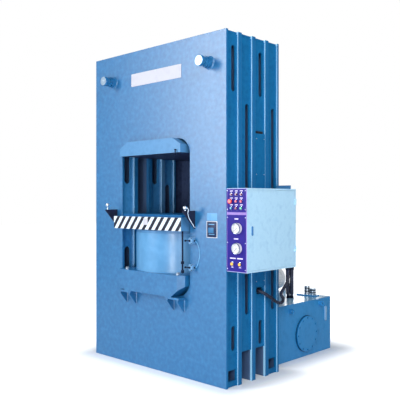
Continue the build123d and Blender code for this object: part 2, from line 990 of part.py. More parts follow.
# Control cabinet: a folded case with a door opening in its right flank, on an angle hanger
cabinet_mid_y = (cabinet_front + cabinet_back) / 2
cabinet_mid_z = (cabinet_low + cabinet_top) / 2
hinge_x = cabinet_right + hinge_stand
hinge_y = cabinet_back - door_rim + door_gap
hinge_levels = [cabinet_low + rise for rise in hinge_rises]
button_columns = [side_face + out for out in button_outs]
two_hand_columns = [side_face + out for out in two_hand_outs]
lamp_row = cabinet_low + lamp_rise
stop_row = cabinet_low + stop_rise
start_row = cabinet_low + start_rise
two_hand_row = cabinet_low + two_hand_rise
button_places = {
    "e_stop_button": (button_columns[0], stop_row),
    "red_button_middle": (button_columns[1], stop_row),
    "red_button_right": (button_columns[2], stop_row),
    "green_button_left": (button_columns[0], start_row),
    "dark_button_middle": (button_columns[1], start_row),
    "green_button_right": (button_columns[2], start_row),
    "start_button_left": (two_hand_columns[0], two_hand_row),
    "start_button_right": (two_hand_columns[1], two_hand_row),
}
stem_holes = list(button_places.values())
gland_plane = Plane(origin=(*conduit_exit, cabinet_low), x_dir=across, z_dir=(0, 0, -1))
with BuildPart() as cabinet_shell:
    with BuildSketch(facing_right(side_face)):
        with Locations((cabinet_mid_y, cabinet_mid_z)):
            RectangleRounded(cabinet_depth, cabinet_height, cabinet_corner)
    extrude(amount=cabinet_width)
    with BuildSketch(facing_right(side_face + cabinet_sheet)):
        with Locations((cabinet_mid_y, cabinet_mid_z)):
            Rectangle(cabinet_depth - 2 * cabinet_sheet, cabinet_height - 2 * cabinet_sheet)
    extrude(amount=cabinet_width - 2 * cabinet_sheet, mode=Mode.SUBTRACT)
    with BuildSketch(facing_right(cabinet_right)):
        with Locations((cabinet_mid_y, cabinet_mid_z)):
            Rectangle(cabinet_depth - 2 * door_rim, cabinet_height - 2 * door_rim)
    extrude(amount=-cabinet_sheet, mode=Mode.SUBTRACT)
    with BuildSketch(facing_front(cabinet_front)):
        with Locations(*stem_holes):
            Circle(stem_hole)
    extrude(amount=-cabinet_sheet, mode=Mode.SUBTRACT)
    with BuildSketch(gland_plane):
        with Locations(*[(offset_across, 0) for offset_across in conduit_strands], harness_lead):
            RegularPolygon(gland_radius, 6)
    extrude(amount=gland_length)
    for level in hinge_levels:
        with BuildSketch(Plane.XY.offset(level)):
            with Locations((hinge_x, hinge_y)):
                Circle(hinge_radius)
            with Locations((hinge_x - hinge_stand / 2, hinge_y + hinge_leaf_shift)):
                Rectangle(hinge_stand, hinge_leaf)
        extrude(amount=hinge_length / 2)
        with BuildSketch(Plane.XY.offset(level)):
            with Locations((hinge_x, hinge_y)):
                Circle(hinge_pin + shaft_clearance)
        extrude(amount=hinge_length / 2, mode=Mode.SUBTRACT)
    with BuildSketch(Plane.XY.offset(cabinet_top + hanger_rise - hanger_height)):
        with Locations((side_face + hanger_length / 2, cabinet_back + hanger_sheet / 2)):
            Rectangle(hanger_length, hanger_sheet)
        with Locations((side_face + hanger_sheet / 2, cabinet_back + hanger_foot / 2)):
            Rectangle(hanger_sheet, hanger_foot)
    extrude(amount=hanger_height)
write(cabinet_shell, "cabinet_shell")

# Cabinet door: a folded pan that fills the opening
handle_y = cabinet_front + handle_inset
handle_z = cabinet_low + handle_rise
door_length = cabinet_depth - 2 * door_rim - 2 * door_gap
door_height = cabinet_height - 2 * door_rim - 2 * door_gap
with BuildPart() as cabinet_door:
    with BuildSketch(facing_right(cabinet_right)):
        with Locations((cabinet_mid_y, cabinet_mid_z)):
            RectangleRounded(door_length, door_height, door_corner)
    extrude(amount=-door_thickness)
    with BuildSketch(facing_right(cabinet_right - cabinet_sheet)):
        with Locations((cabinet_mid_y, cabinet_mid_z)):
            Rectangle(door_length - 2 * cabinet_sheet, door_height - 2 * cabinet_sheet)
    extrude(amount=cabinet_sheet - door_thickness, mode=Mode.SUBTRACT)
    with BuildSketch(facing_right(cabinet_right)):
        with Locations((handle_y, handle_z)):
            Circle(handle_shaft + shaft_clearance)
    extrude(amount=-cabinet_sheet, mode=Mode.SUBTRACT)
    for level in hinge_levels:
        with BuildSketch(Plane.XY.offset(level - hinge_gap)):
            with Locations((hinge_x, hinge_y)):
                Circle(hinge_radius)
            with Locations((hinge_x - hinge_stand / 2, hinge_y - hinge_leaf_shift)):
                Rectangle(hinge_stand, hinge_leaf)
        extrude(amount=-hinge_length / 2)
        with BuildSketch(Plane.XY.offset(level)):
            with Locations((hinge_x, hinge_y)):
                Circle(hinge_pin + shaft_clearance)
        extrude(amount=-hinge_length / 2 - hinge_gap, mode=Mode.SUBTRACT)
write(cabinet_door, "cabinet_door")

# Hinge pins
with BuildPart() as hinge_pins:
    for level in hinge_levels:
        with BuildSketch(Plane.XY.offset(level - hinge_length / 2)):
            with Locations((hinge_x, hinge_y)):
                Circle(hinge_pin)
        extrude(amount=hinge_length)
        with BuildSketch(Plane.XY.offset(level + hinge_length / 2)):
            with Locations((hinge_x, hinge_y)):
                Circle(hinge_pin + pin_head_rim)
        extrude(amount=pin_head_height)
write(hinge_pins, "hinge_pins")

# Quarter-turn door handle
with BuildPart() as door_handle:
    with BuildSketch(facing_right(cabinet_right - door_thickness)):
        with Locations((handle_y, handle_z)):
            Circle(handle_shaft)
    extrude(amount=door_thickness + handle_gap)
    with BuildSketch(facing_right(cabinet_right + handle_gap)):
        with Locations((handle_y, handle_z - handle_length / 2 + handle_width / 2)):
            SlotOverall(handle_length, handle_width, rotation=90)
    extrude(amount=handle_thickness)
    chamfer(door_handle.faces().sort_by(Axis.X)[-1].edges(), length=handle_chamfer)
write(door_handle, "door_handle")

# Mounting plate with control gear: rails, contactors and a controller
gear_plate_x = side_face + cabinet_sheet + gear_stand
gear_face = gear_plate_x + gear_sheet
with BuildPart() as control_gear:
    with BuildSketch(facing_right(gear_plate_x)):
        with Locations((cabinet_mid_y, cabinet_mid_z)):
            Rectangle(cabinet_depth - 3 * door_rim, cabinet_height - 3 * door_rim)
    extrude(amount=gear_sheet)
    with BuildSketch(facing_right(side_face + cabinet_sheet)):
        with Locations((cabinet_mid_y, cabinet_mid_z)):
            with GridLocations(cabinet_depth - 5 * door_rim, cabinet_height - 5 * door_rim, 2, 2):
                Circle(gear_stud)
    extrude(amount=gear_stand)
    for row, count, (width, height, depth) in (
        (contactor_row, contactor_count, contactor_size),
        (relay_row, relay_count, relay_size),
        (terminal_row, terminal_count, terminal_size),
    ):
        with BuildSketch(facing_right(gear_face)):
            with Locations((cabinet_mid_y, cabinet_mid_z + row)):
                Rectangle(cabinet_depth - 4 * door_rim, gear_rail)
                with GridLocations(width + gear_gap, 0, count, 1):
                    Rectangle(width, height)
        extrude(amount=gear_rail_depth)
        with BuildSketch(facing_right(gear_face + gear_rail_depth)):
            with Locations((cabinet_mid_y, cabinet_mid_z + row)):
                with GridLocations(width + gear_gap, 0, count, 1):
                    Rectangle(width, height)
        extrude(amount=depth - gear_rail_depth - gear_sheet)
write(control_gear, "control_gear")

# Panel plates with the button bezels
panel_face = cabinet_front - panel_sheet
panel_mid_x = side_face + cabinet_width / 2
panel_width = cabinet_width - 2 * panel_edge
panel_high = cabinet_top - panel_edge
panel_low = cabinet_low + panel_edge
upper_panel_low = cabinet_low + panel_split + panel_band / 2
lower_panel_high = cabinet_low + panel_split - panel_band / 2
small_bezels = [
    (x, z) for x in button_columns for z in (stop_row, start_row)
]
two_hand_places = [(x, two_hand_row) for x in two_hand_columns]
with BuildPart() as panel_plates:
    with BuildSketch(facing_front(cabinet_front)):
        with Locations((panel_mid_x, (upper_panel_low + panel_high) / 2)):
            RectangleRounded(panel_width, panel_high - upper_panel_low, panel_corner)
        with Locations((panel_mid_x, (panel_low + lower_panel_high) / 2)):
            RectangleRounded(panel_width, lower_panel_high - panel_low, panel_corner)
    extrude(amount=panel_sheet)
    with BuildSketch(facing_front(panel_face)):
        with Locations(*small_bezels):
            Circle(bezel_radius)
        with Locations(*two_hand_places):
            Circle(two_hand_bezel)
    extrude(amount=bezel_height)
    with BuildSketch(facing_front(panel_face - bezel_height)):
        with Locations(*small_bezels):
            Circle(cap_radius + button_clearance)
        with Locations(*two_hand_places):
            Circle(two_hand_cap + button_clearance)
    extrude(amount=-bezel_height, mode=Mode.SUBTRACT)
    with BuildSketch(facing_front(panel_face)):
        with Locations(*stem_holes):
            Circle(stem_hole)
    extrude(amount=-panel_sheet, mode=Mode.SUBTRACT)
write(panel_plates, "panel_plates")

# Push buttons: cap, and stem through the panel
stem_radius = stem_hole - button_clearance
stem_back = cabinet_front + cabinet_sheet + stem_reach
cap_back = panel_face - button_travel - cap_gap
cap_length = bezel_height + cap_stand - button_travel - cap_gap
cap_front = cap_back - cap_length
for name, place in button_places.items():
    radius = two_hand_cap if place in two_hand_places else cap_radius
    mushroom = name == "e_stop_button"
    with BuildPart() as button:
        with BuildSketch(facing_front(stem_back)):
            with Locations(place):
                Circle(stem_radius)
        extrude(amount=stem_back - cap_back)
        with BuildSketch(facing_front(cap_back)):
            with Locations(place):
                Circle(radius)
        extrude(amount=cap_length)
        if mushroom:
            with BuildSketch(facing_front(cap_front)):
                with Locations(place):
                    Circle(mushroom_neck)
            extrude(amount=mushroom_neck_length)
            with BuildSketch(facing_front(cap_front - mushroom_neck_length)):
                with Locations(place):
                    Circle(mushroom_radius)
            extrude(amount=mushroom_height)
            fillet(button.faces().sort_by(Axis.Y)[0].edges(), radius=mushroom_fillet)
        else:
            chamfer(button.faces().sort_by(Axis.Y)[0].edges(), length=cap_chamfer)
    write(button, name)

# Indicator lamps
with BuildPart() as indicator_lamps:
    with BuildSketch(facing_front(panel_face)):
        with Locations(*[(x, lamp_row) for x in button_columns]):
            Circle(lamp_base)
    extrude(amount=lamp_base_height)
    with BuildSketch(facing_front(panel_face - lamp_base_height)):
        with Locations(*[(x, lamp_row) for x in button_columns]):
            Circle(lamp_lens)
    extrude(amount=lamp_height)
write(indicator_lamps, "indicator_lamps")

# Pressure gauges: case with its dial and spindle, then lens and needle
gauge_front = panel_face - gauge_depth
dial_y = gauge_front + gauge_face_depth
gauge_x = side_face + gauge_out
gauge_levels = {name: cabinet_low + rise for name, rise in gauge_rises.items()}
with BuildPart() as gauges:
    with BuildSketch(facing_front(panel_face)):
        for level in gauge_levels.values():
            with Locations((gauge_x, level)):
                Circle(gauge_radius)
    extrude(amount=gauge_depth)
    with BuildSketch(facing_front(gauge_front)):
        for level in gauge_levels.values():
            with Locations((gauge_x, level)):
                Circle(gauge_radius - gauge_rim)
    extrude(amount=-gauge_face_depth, mode=Mode.SUBTRACT)
    with BuildSketch(facing_front(dial_y)):
        for level in gauge_levels.values():
            with Locations((gauge_x, level)):
                Circle(spindle_radius)
    extrude(amount=spindle_length)
write(gauges, "gauges")

with BuildPart() as gauge_lenses:
    with BuildSketch(facing_front(gauge_front + lens_step + gauge_lens)):
        for level in gauge_levels.values():
            with Locations((gauge_x, level)):
                Circle(gauge_radius - gauge_rim)
    extrude(amount=gauge_lens)
write(gauge_lenses, "gauge_lenses")

needle_back = dial_y - needle_stand
for name, level in gauge_levels.items():
    with BuildPart() as needle:
        with BuildSketch(facing_front(needle_back)):
            with Locations((gauge_x, level)):
                Circle(needle_boss)
                with Locations(Location((-needle_shift, -needle_shift), 45)):
                    Rectangle(needle_length, needle_width)
                Circle(spindle_radius + shaft_clearance, mode=Mode.SUBTRACT)
        extrude(amount=needle_thickness)
    write(needle, f"gauge_needle_{name}")

# Oil tank: welded trough with lifting lugs and a level gauge mount
tank_mid_x = (tank_left + tank_right) / 2
tank_mid_y = (tank_front + tank_back) / 2
tank_rim = tank_height - lid_thickness
lug_places = (
    (tank_front + lug_insets[0], tank_height - lug_drops[0]),
    (tank_back - lug_insets[1], tank_height - lug_drops[1]),
)
with BuildPart() as tank_body:
    with BuildSketch():
        with Locations((tank_mid_x, tank_mid_y)):
            Rectangle(tank_width, tank_depth)
    extrude(amount=tank_rim)
    with BuildSketch(Plane.XY.offset(tank_rim)):
        with Locations((tank_mid_x, tank_mid_y)):
            Rectangle(tank_width - 2 * tank_wall, tank_depth - 2 * tank_wall)
    extrude(amount=tank_wall - tank_rim, mode=Mode.SUBTRACT)
    for y, z in lug_places:
        with BuildSketch(facing_front(y + lug_thickness / 2)):
            with Locations((tank_right, z)):
                with Locations((lug_stand / 2, 0)):
                    Rectangle(lug_stand, 2 * lug_radius)
                with Locations((lug_stand, 0)):
                    Circle(lug_radius)
                    Circle(lug_eye, mode=Mode.SUBTRACT)
        extrude(amount=lug_thickness)
write(tank_body, "tank_body")

# Tank lid with filler neck and cable glands
landing_plane = Plane(origin=(*conduit_landing, tank_height), x_dir=across)
pad_top = tank_height + filler_pad_thickness
with BuildPart() as tank_lid:
    with BuildSketch(Plane.XY.offset(tank_rim)):
        with Locations((tank_mid_x, tank_mid_y)):
            Rectangle(tank_width, tank_depth)
    extrude(amount=lid_thickness)
    with BuildSketch(Plane.XY.offset(tank_height)):
        with Locations((filler_place[0] - filler_pad_shift, filler_place[1])):
            Rectangle(*filler_pad)
    extrude(amount=filler_pad_thickness)
    with BuildSketch(Plane.XY.offset(pad_top)):
        with Locations(filler_place):
            Circle(filler_radius)
    extrude(amount=filler_neck)
    with BuildSketch(Plane.XY.offset(pad_top)):
        with Locations((filler_place[0] - breather_shift, filler_place[1])):
            Circle(breather_radius)
    extrude(amount=breather_height)
    with BuildSketch(landing_plane):
        with Locations(*[(offset_across, 0) for offset_across in conduit_strands]):
            RegularPolygon(gland_radius, 6)
    extrude(amount=gland_length)
    with BuildSketch(Plane.XY.offset(pad_top + filler_neck)):
        with Locations(filler_place):
            Circle(filler_radius - filler_wall)
    extrude(amount=tank_rim - pad_top - filler_neck, mode=Mode.SUBTRACT)
write(tank_lid, "tank_lid")

# Filler cap: ribbed and hollow, sits over the neck
cap_low = pad_top + filler_cap_gap
cap_outer = filler_radius + filler_cap_wall
with BuildPart() as filler_cap:
    with BuildSketch(Plane.XY.offset(cap_low)):
        with Locations(filler_place):
            Circle(cap_outer)
            with PolarLocations(cap_outer, filler_ribs):
                Circle(filler_rib, mode=Mode.SUBTRACT)
    extrude(amount=filler_cap_height)
    with BuildSketch(Plane.XY.offset(cap_low)):
        with Locations(filler_place):
            Circle(filler_radius + filler_cap_gap)
    extrude(amount=filler_neck + filler_cap_gap, mode=Mode.SUBTRACT)
write(filler_cap, "filler_cap")

# Manhole cover with its ring of bolts
manhole_centre = (tank_front + manhole_inset, manhole_z)
bolt_circle = manhole_radius - manhole_bolt_inset
with BuildPart() as manhole_cover:
    with BuildSketch(facing_right(tank_right)):
        with Locations(manhole_centre):
            Circle(manhole_radius)
    extrude(amount=manhole_thickness)
    chamfer(manhole_cover.faces().sort_by(Axis.X)[-1].edges(), length=manhole_chamfer)
    with BuildSketch(facing_right(tank_right + manhole_thickness)):
        with Locations(manhole_centre):
            with PolarLocations(bolt_circle, manhole_bolts):
                RegularPolygon(manhole_bolt_head, 6)
    extrude(amount=manhole_bolt_height)
write(manhole_cover, "manhole_cover")

# Oil level gauge
level_place = (tank_back - level_inset, tank_height - level_drop)
with BuildPart() as level_gauge:
    with BuildSketch(facing_right(tank_right)):
        with Locations(level_place):
            SlotOverall(level_length + level_body, level_body, rotation=90)
    extrude(amount=level_body_depth)
    with BuildSketch(facing_right(tank_right + level_body_depth)):
        with Locations(level_place):
            SlotOverall(level_length - level_tube_gap, level_tube, rotation=90)
            with GridLocations(0, level_length, 1, 2):
                RegularPolygon(level_nut, 6)
    extrude(amount=level_tube_depth)
write(level_gauge, "level_gauge")

# Pump set: foot-mounted motor with cooling fins
shaft_z = tank_height + motor_axis
motor_x = tank_left + motor_inset_x
motor_front = tank_front + motor_inset_y
motor_back = motor_front + motor_length
motor_middle = (motor_x, (motor_front + motor_back) / 2)
foot_pitch = motor_length - 2 * motor_foot_inset
with BuildPart() as pump_motor:
    with BuildSketch(facing_front(motor_back)):
        with Locations((motor_x, shaft_z)):
            Circle(motor_radius - motor_fin_root)
            with PolarLocations(motor_radius - motor_fin_root, motor_fins):
                Rectangle(motor_fin, motor_fin_width)
    extrude(amount=motor_length - motor_flange)
    with BuildSketch(facing_front(motor_back + motor_cowl)):
        with Locations((motor_x, shaft_z)):
            Circle(motor_radius - motor_cowl_step)
    extrude(amount=motor_cowl)
    with BuildSketch(facing_front(motor_front + motor_flange)):
        with Locations((motor_x, shaft_z)):
            Circle(motor_radius)
    extrude(amount=motor_flange)
    with BuildSketch(Plane.XY.offset(tank_height)):
        with Locations(motor_middle):
            with GridLocations(0, foot_pitch, 1, 2):
                Rectangle(2 * motor_radius, motor_foot_width)
    extrude(amount=motor_foot_height)
    with BuildSketch(Plane.XY.offset(tank_height + motor_foot_height)):
        with Locations(motor_middle):
            with GridLocations(motor_radius, foot_pitch, 2, 2):
                Rectangle(*motor_leg)
    extrude(amount=motor_leg_height)
    with BuildSketch(Plane.XY.offset(shaft_z)):
        with Locations(motor_middle):
            Rectangle(*motor_box)
    extrude(amount=motor_radius + motor_box_rise)
write(pump_motor, "pump_motor")

# Bell housing, pump and suction pipe
with BuildPart() as hydraulic_pump:
    with BuildSketch(facing_front(motor_front)):
        with Locations((motor_x, shaft_z)):
            Circle(motor_radius - bell_step)
    with BuildSketch(facing_front(motor_front - bell_length)):
        with Locations((motor_x, shaft_z)):
            Circle(pump_radius + bell_rim)
    loft()
    with BuildSketch(facing_front(motor_front - bell_length)):
        with Locations((motor_x, shaft_z)):
            Circle(pump_radius)
    extrude(amount=pump_length)
    with BuildSketch(Plane.XY.offset(tank_height)):
        with Locations((motor_x, motor_front - bell_length - pump_length / 2)):
            Circle(pipe_radius)
    extrude(amount=motor_axis)
    with BuildSketch(Plane.XY.offset(tank_height)):
        with Locations((motor_x, motor_front - bell_length - pump_length / 2)):
            Circle(pipe_radius + suction_flange)
    extrude(amount=suction_flange_height)
write(hydraulic_pump, "hydraulic_pump")

# Valve block with three solenoid valves
valve_y = tank_front + valve_inset
valve_top = tank_height + valve_size[2]
with BuildPart() as valve_block:
    with BuildSketch(Plane.XY.offset(tank_height)):
        with Locations((0, valve_y)):
            Rectangle(valve_size[0], valve_size[1])
    extrude(amount=valve_size[2])
    for level in solenoid_levels:
        with BuildSketch(facing_right(-valve_size[0] / 2 - solenoid_size[2])):
            with Locations((valve_y, tank_height + level)):
                RectangleRounded(solenoid_size[0], solenoid_size[1], solenoid_corner)
        extrude(amount=solenoid_size[2])
write(valve_block, "valve_block")

# Oil lines: cylinder feed with its flanges, and the return bend on the lid
return_left = tank_left + return_insets[0]
return_right = tank_left + return_insets[1]
return_y = tank_back - return_inset_y
return_top = tank_height + return_rise
with BuildPart() as feed_pipe:
    with BuildLine() as feed:
        FilletPolyline(
            (0, valve_y, valve_top),
            (0, valve_y, port_z),
            (0, base_depth / 2, port_z),
            radius=feed_bend,
        )
    with BuildSketch(Plane.XY.offset(valve_top)):
        with Locations((0, valve_y)):
            Circle(pipe_radius)
    sweep(path=feed.line)
    with BuildSketch(facing_front(base_depth / 2)):
        with Locations((0, port_z)):
            Rectangle(feed_flange_size, feed_flange_size)
    extrude(amount=-feed_flange)
    with BuildSketch(Plane.XY.offset(valve_top)):
        with Locations((0, valve_y)):
            Rectangle(valve_flange_size, valve_flange_size)
    extrude(amount=feed_flange)
with BuildPart() as return_pipe:
    with BuildLine() as bend:
        FilletPolyline(
            (return_left, return_y, tank_height),
            (return_left, return_y, return_top),
            (return_right, return_y, return_top),
            (return_right, return_y, tank_height),
            radius=return_bend,
        )
    with BuildSketch(Plane.XY.offset(tank_height)):
        with Locations((return_left, return_y)):
            Circle(return_pipe_radius)
    sweep(path=bend.line)
with BuildPart() as oil_pipes:
    add([feed_pipe.part, return_pipe.part])
write(oil_pipes, "oil_pipes")

# Twin conduit from the cabinet to the tank in one upright plane, and the harness
# that leaves beside it, sags along the flank and enters the cable bay
conduit_start = cabinet_low - gland_length
conduit_end = tank_height + gland_length
conduit_profile = (
    (0, conduit_start),
    (0, 890),
    (34, 812),
    (118, 748),
    (232, 712),
    (360, 694),
    (492, 688),
    (624, 687),
    (752, 691),
    (870, 684),
    (fall.length - 14, tank_height + 90),
    (fall.length, tank_height + 56),
    (fall.length, conduit_end),
)
harness_start = Vector(*conduit_exit, conduit_start) + across * harness_lead[0] - run * harness_lead[1]
harness_route = (
    tuple(harness_start),
    (harness_start.X, harness_start.Y, 905),
    (side_face + 185, 233, 844),
    (side_face + 150, 230, 792),
    (side_face + 105, 247, 737),
    (side_face + 82, 306, 702),
    (side_face + 62, 350, 682),
    (side_face + 50, 358, 652),
    (side_face + 42, 332, 636),
    (side_face + 37, 285, 650),
    (side_face + 33, 235, 680),
    (side_face + 30, 192, 708),
    (side_face + 22, 130, 742),
    (side_face - 6, 104, 766),
    (side_face - 54, 98, 770),
)
cords = [cord(harness_route, harness_diameter)]
for side in conduit_strands:
    beside = Vector(*conduit_exit, 0) + across * side
    points = [tuple(beside + run * reach + Vector(0, 0, z)) for reach, z in conduit_profile]
    cords.append(cord(points, conduit_diameter))
with BuildPart() as cabinet_cables:
    add(cords)
write(cabinet_cables, "cabinet_cables")
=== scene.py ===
import math

import bmesh
import bpy
from mathutils import Matrix, Vector


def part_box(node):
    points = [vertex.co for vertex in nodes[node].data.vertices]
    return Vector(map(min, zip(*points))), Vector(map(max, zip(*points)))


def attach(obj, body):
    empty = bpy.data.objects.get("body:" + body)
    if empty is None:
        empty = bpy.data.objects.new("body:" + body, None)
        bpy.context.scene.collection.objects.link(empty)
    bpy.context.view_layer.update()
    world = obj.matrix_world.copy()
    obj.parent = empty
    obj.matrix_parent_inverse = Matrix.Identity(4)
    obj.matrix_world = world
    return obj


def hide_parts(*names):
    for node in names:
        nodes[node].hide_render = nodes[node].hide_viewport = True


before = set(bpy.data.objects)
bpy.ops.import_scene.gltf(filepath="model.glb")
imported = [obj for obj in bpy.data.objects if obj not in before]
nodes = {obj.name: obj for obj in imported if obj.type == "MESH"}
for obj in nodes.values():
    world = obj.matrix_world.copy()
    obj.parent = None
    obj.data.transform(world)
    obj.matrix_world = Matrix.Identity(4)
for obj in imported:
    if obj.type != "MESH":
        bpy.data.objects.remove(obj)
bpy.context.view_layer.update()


# Places and sizes of the press, in metres

MM = 0.001
PLATES = ("front_plate", "front_main_plate", "middle_main_plate", "rear_main_plate", "rear_plate")
plate_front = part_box("front_plate")[0].y
plate_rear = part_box("rear_plate")[1].y
SIDE_FACE = 890 * MM
WEB_RECESS = 18 * MM
WEB_FACE = SIDE_FACE - WEB_RECESS
WEB_TOP = 2.976
PIT_TOP = 0.271
WINDOW_SIDE = 465 * MM
JAMB_RECESS = 25 * MM
JAMB_FACE = WINDOW_SIDE + JAMB_RECESS
WINDOW_LOW, WINDOW_HIGH = 0.863, 1.975
DUCT_LOW, DUCT_HIGH = 0.812, 2.157
CABINET_FOOT = 980 * MM
CABINET_BACK = 325 * MM
# Above this height the back of the cabinet's shell is its fixing tab
SHELL_TAB_LOW = 1.6
TANK_TOP = 550 * MM
# On the tank lid the conduit glands lie in front of this line and the filler necks behind it
LID_FITTINGS_SPLIT = 1.2
UPPER_SWITCH, LOWER_SWITCH = 1.218, 0.986
GAUGE_LEVELS = (("upper", 1.341), ("lower", 1.177))


# Colour and node helpers

def linear(hex_colour):
    """An sRGB hex colour as the linear RGBA that a shader works in."""
    channels = [int(hex_colour[i:i + 2], 16) / 255 for i in (1, 3, 5)]
    return [c / 12.92 if c <= 0.04045 else ((c + 0.055) / 1.055) ** 2.4 for c in channels] + [1.0]


def add(tree, kind, inputs=None, **settings):
    """Adds a node with its settings; an input is a value or a (node, output) pair to link."""
    made = tree.nodes.new(kind)
    for name, value in settings.items():
        setattr(made, name, value)
    for name, value in (inputs or {}).items():
        if isinstance(value, tuple) and isinstance(value[0], bpy.types.Node):
            tree.links.new(value[0].outputs[value[1]], made.inputs[name])
        else:
            made.inputs[name].default_value = value
    return made


def maths(tree, operation, *values):
    """One sum on values or (node, output) pairs, as a pair to link on."""
    return add(tree, "ShaderNodeMath", dict(enumerate(values)), operation=operation), "Value"


def one_of_two(tree, switch, off, on):
    """The colour off where switch is 0 and on where it is 1, as a pair to link on.
    Mix numbers its two colour inputs 6 and 7, and its colour output 2."""
    return add(tree, "ShaderNodeMix", {"Factor": switch, 6: off, 7: on}, data_type="RGBA"), 2


def feed(tree, shader, socket, source):
    """Links a (node, output) pair to a socket of the shader."""
    tree.links.new(source[0].outputs[source[1]], shader.inputs[socket])


def material(name, **surface):
    """A new Principled material: returns it with its node tree and its shader node."""
    made = bpy.data.materials.new(name)
    made.use_nodes = True
    shader = made.node_tree.nodes["Principled BSDF"]
    for socket, value in surface.items():
        shader.inputs[socket.replace("_", " ")].default_value = value
    return made, made.node_tree, shader


def position(tree):
    """The point on the piece at rest, in metres."""
    return add(tree, "ShaderNodeTexCoord"), "Object"


def shades(tree, where, size_mm, colours, detail=3.0, spread=0.12):
    """Soft cloudy change between hex colours over patches of size_mm."""
    clouds = add(tree, "ShaderNodeTexNoise", {"Vector": where, "Scale": 1000 / size_mm, "Detail": detail})
    ramp = add(tree, "ShaderNodeValToRGB", {"Fac": (clouds, "Fac")})
    stops = ramp.color_ramp.elements
    while len(stops) < len(colours):
        stops.new(0.5)
    for number, (stop, colour) in enumerate(zip(stops, colours)):
        stop.position = 0.5 - spread + 2 * spread * number / (len(colours) - 1)
        stop.color = linear(colour)
    return ramp, "Color"


def rub(tree, shader, where, size_mm, low, high):
    """Roughness that wanders between low and high over patches of size_mm."""
    wear = add(tree, "ShaderNodeTexNoise", {"Vector": where, "Scale": 1000 / size_mm, "Detail": 4.0})
    span = add(tree, "ShaderNodeMapRange", {"Value": (wear, "Fac"), "From Min": 0.35, "From Max": 0.65,
                                            "To Min": low, "To Max": high})
    feed(tree, shader, "Roughness", (span, "Result"))


def grain(tree, shader, where, size_mm, depth_mm):
    """Fine bump of the finish, size_mm across and depth_mm deep."""
    bumps = add(tree, "ShaderNodeTexNoise", {"Vector": where, "Scale": 1000 / size_mm, "Detail": 2.0})
    bump = add(tree, "ShaderNodeBump", {"Height": (bumps, "Fac"), "Distance": depth_mm * MM,
                                        "Strength": 0.6})
    feed(tree, shader, "Normal", (bump, "Normal"))


# Materials

PEEL_MM = 14
PEEL_DEPTH_MM = 0.08


def sprayed_enamel(name, colours, gloss, specular=0.3, patch_mm=60):
    """Alkyd enamel sprayed on hot-rolled plate: mottled in hand-sized patches from uneven coats,
    with a faint orange peel. The peel is really 2 to 3 mm and is drawn coarser, so that it shows.
    The painted shade inside the frame, the stoved signs and the printed and etched fields take the light
    the same way."""
    made, tree, shader = material(name, IOR=1.5, Specular_IOR_Level=specular)
    where = position(tree)
    feed(tree, shader, "Base Color", shades(tree, where, patch_mm, colours, detail=6.0, spread=0.2))
    rub(tree, shader, where, size_mm=35, low=gloss - 0.02, high=gloss + 0.03)
    grain(tree, shader, where, PEEL_MM, PEEL_DEPTH_MM)
    return made


def powder_coat(name, colours):
    """Polyester powder coat baked on folded sheet: an even satin that turns softly cloudy in the light.
    Its pebbles, really under 1 mm, are drawn 6 mm wide."""
    made, tree, shader = material(name, IOR=1.5, Specular_IOR_Level=0.35)
    where = position(tree)
    feed(tree, shader, "Base Color", shades(tree, where, 65, colours, spread=0.25))
    rub(tree, shader, where, size_mm=60, low=0.42, high=0.52)
    grain(tree, shader, where, size_mm=6, depth_mm=0.08)
    return made


def metal(name, colour, roughness, grain_mm, depth_mm):
    """Bare or plated steel: a grain and uneven polish break up its shine.
    The grain of such faces is under 1 mm and is drawn coarser."""
    made, tree, shader = material(name, Metallic=1.0)
    shader.inputs["Base Color"].default_value = linear(colour)
    where = position(tree)
    rub(tree, shader, where, size_mm=grain_mm * 3, low=roughness - 0.06, high=roughness + 0.06)
    grain(tree, shader, where, grain_mm, depth_mm)
    return made


def moulded_plastic(name, colour, roughness, coat=0.0, specular=0.5):
    """Moulded thermoplastic: even colour, a soft sheen and slight sink marks.
    The stoved castings, the panel's film and the dial's ink are as even, and are made the same way."""
    made, tree, shader = material(name, IOR=1.49, Coat_Weight=coat, Coat_Roughness=0.08,
                                  Specular_IOR_Level=specular)
    shader.inputs["Base Color"].default_value = linear(colour)
    where = position(tree)
    rub(tree, shader, where, size_mm=12, low=roughness - 0.03, high=roughness + 0.04)
    grain(tree, shader, where, size_mm=4, depth_mm=0.02)
    return made


def cable_rubber(name, colours):
    """Rubber or soft PVC sheath: dull, with a dusty bloom that shifts its colour in patches.
    The grain of the skin, really under 1 mm, is drawn 2 mm wide."""
    made, tree, shader = material(name, IOR=1.5, Specular_IOR_Level=0.4)
    where = position(tree)
    feed(tree, shader, "Base Color", shades(tree, where, 30, colours))
    rub(tree, shader, where, size_mm=20, low=0.4, high=0.55)
    grain(tree, shader, where, size_mm=2, depth_mm=0.05)
    return made


STRIPE_PITCH = 88.1 * MM
STRIPE_WHITE = 0.51
STRIPE_LEAN = 0.76
STRIPE_START = -1438 * MM
STRIPE_WANDER = 6 * MM
WANDERS_PER_METRE = 45.0


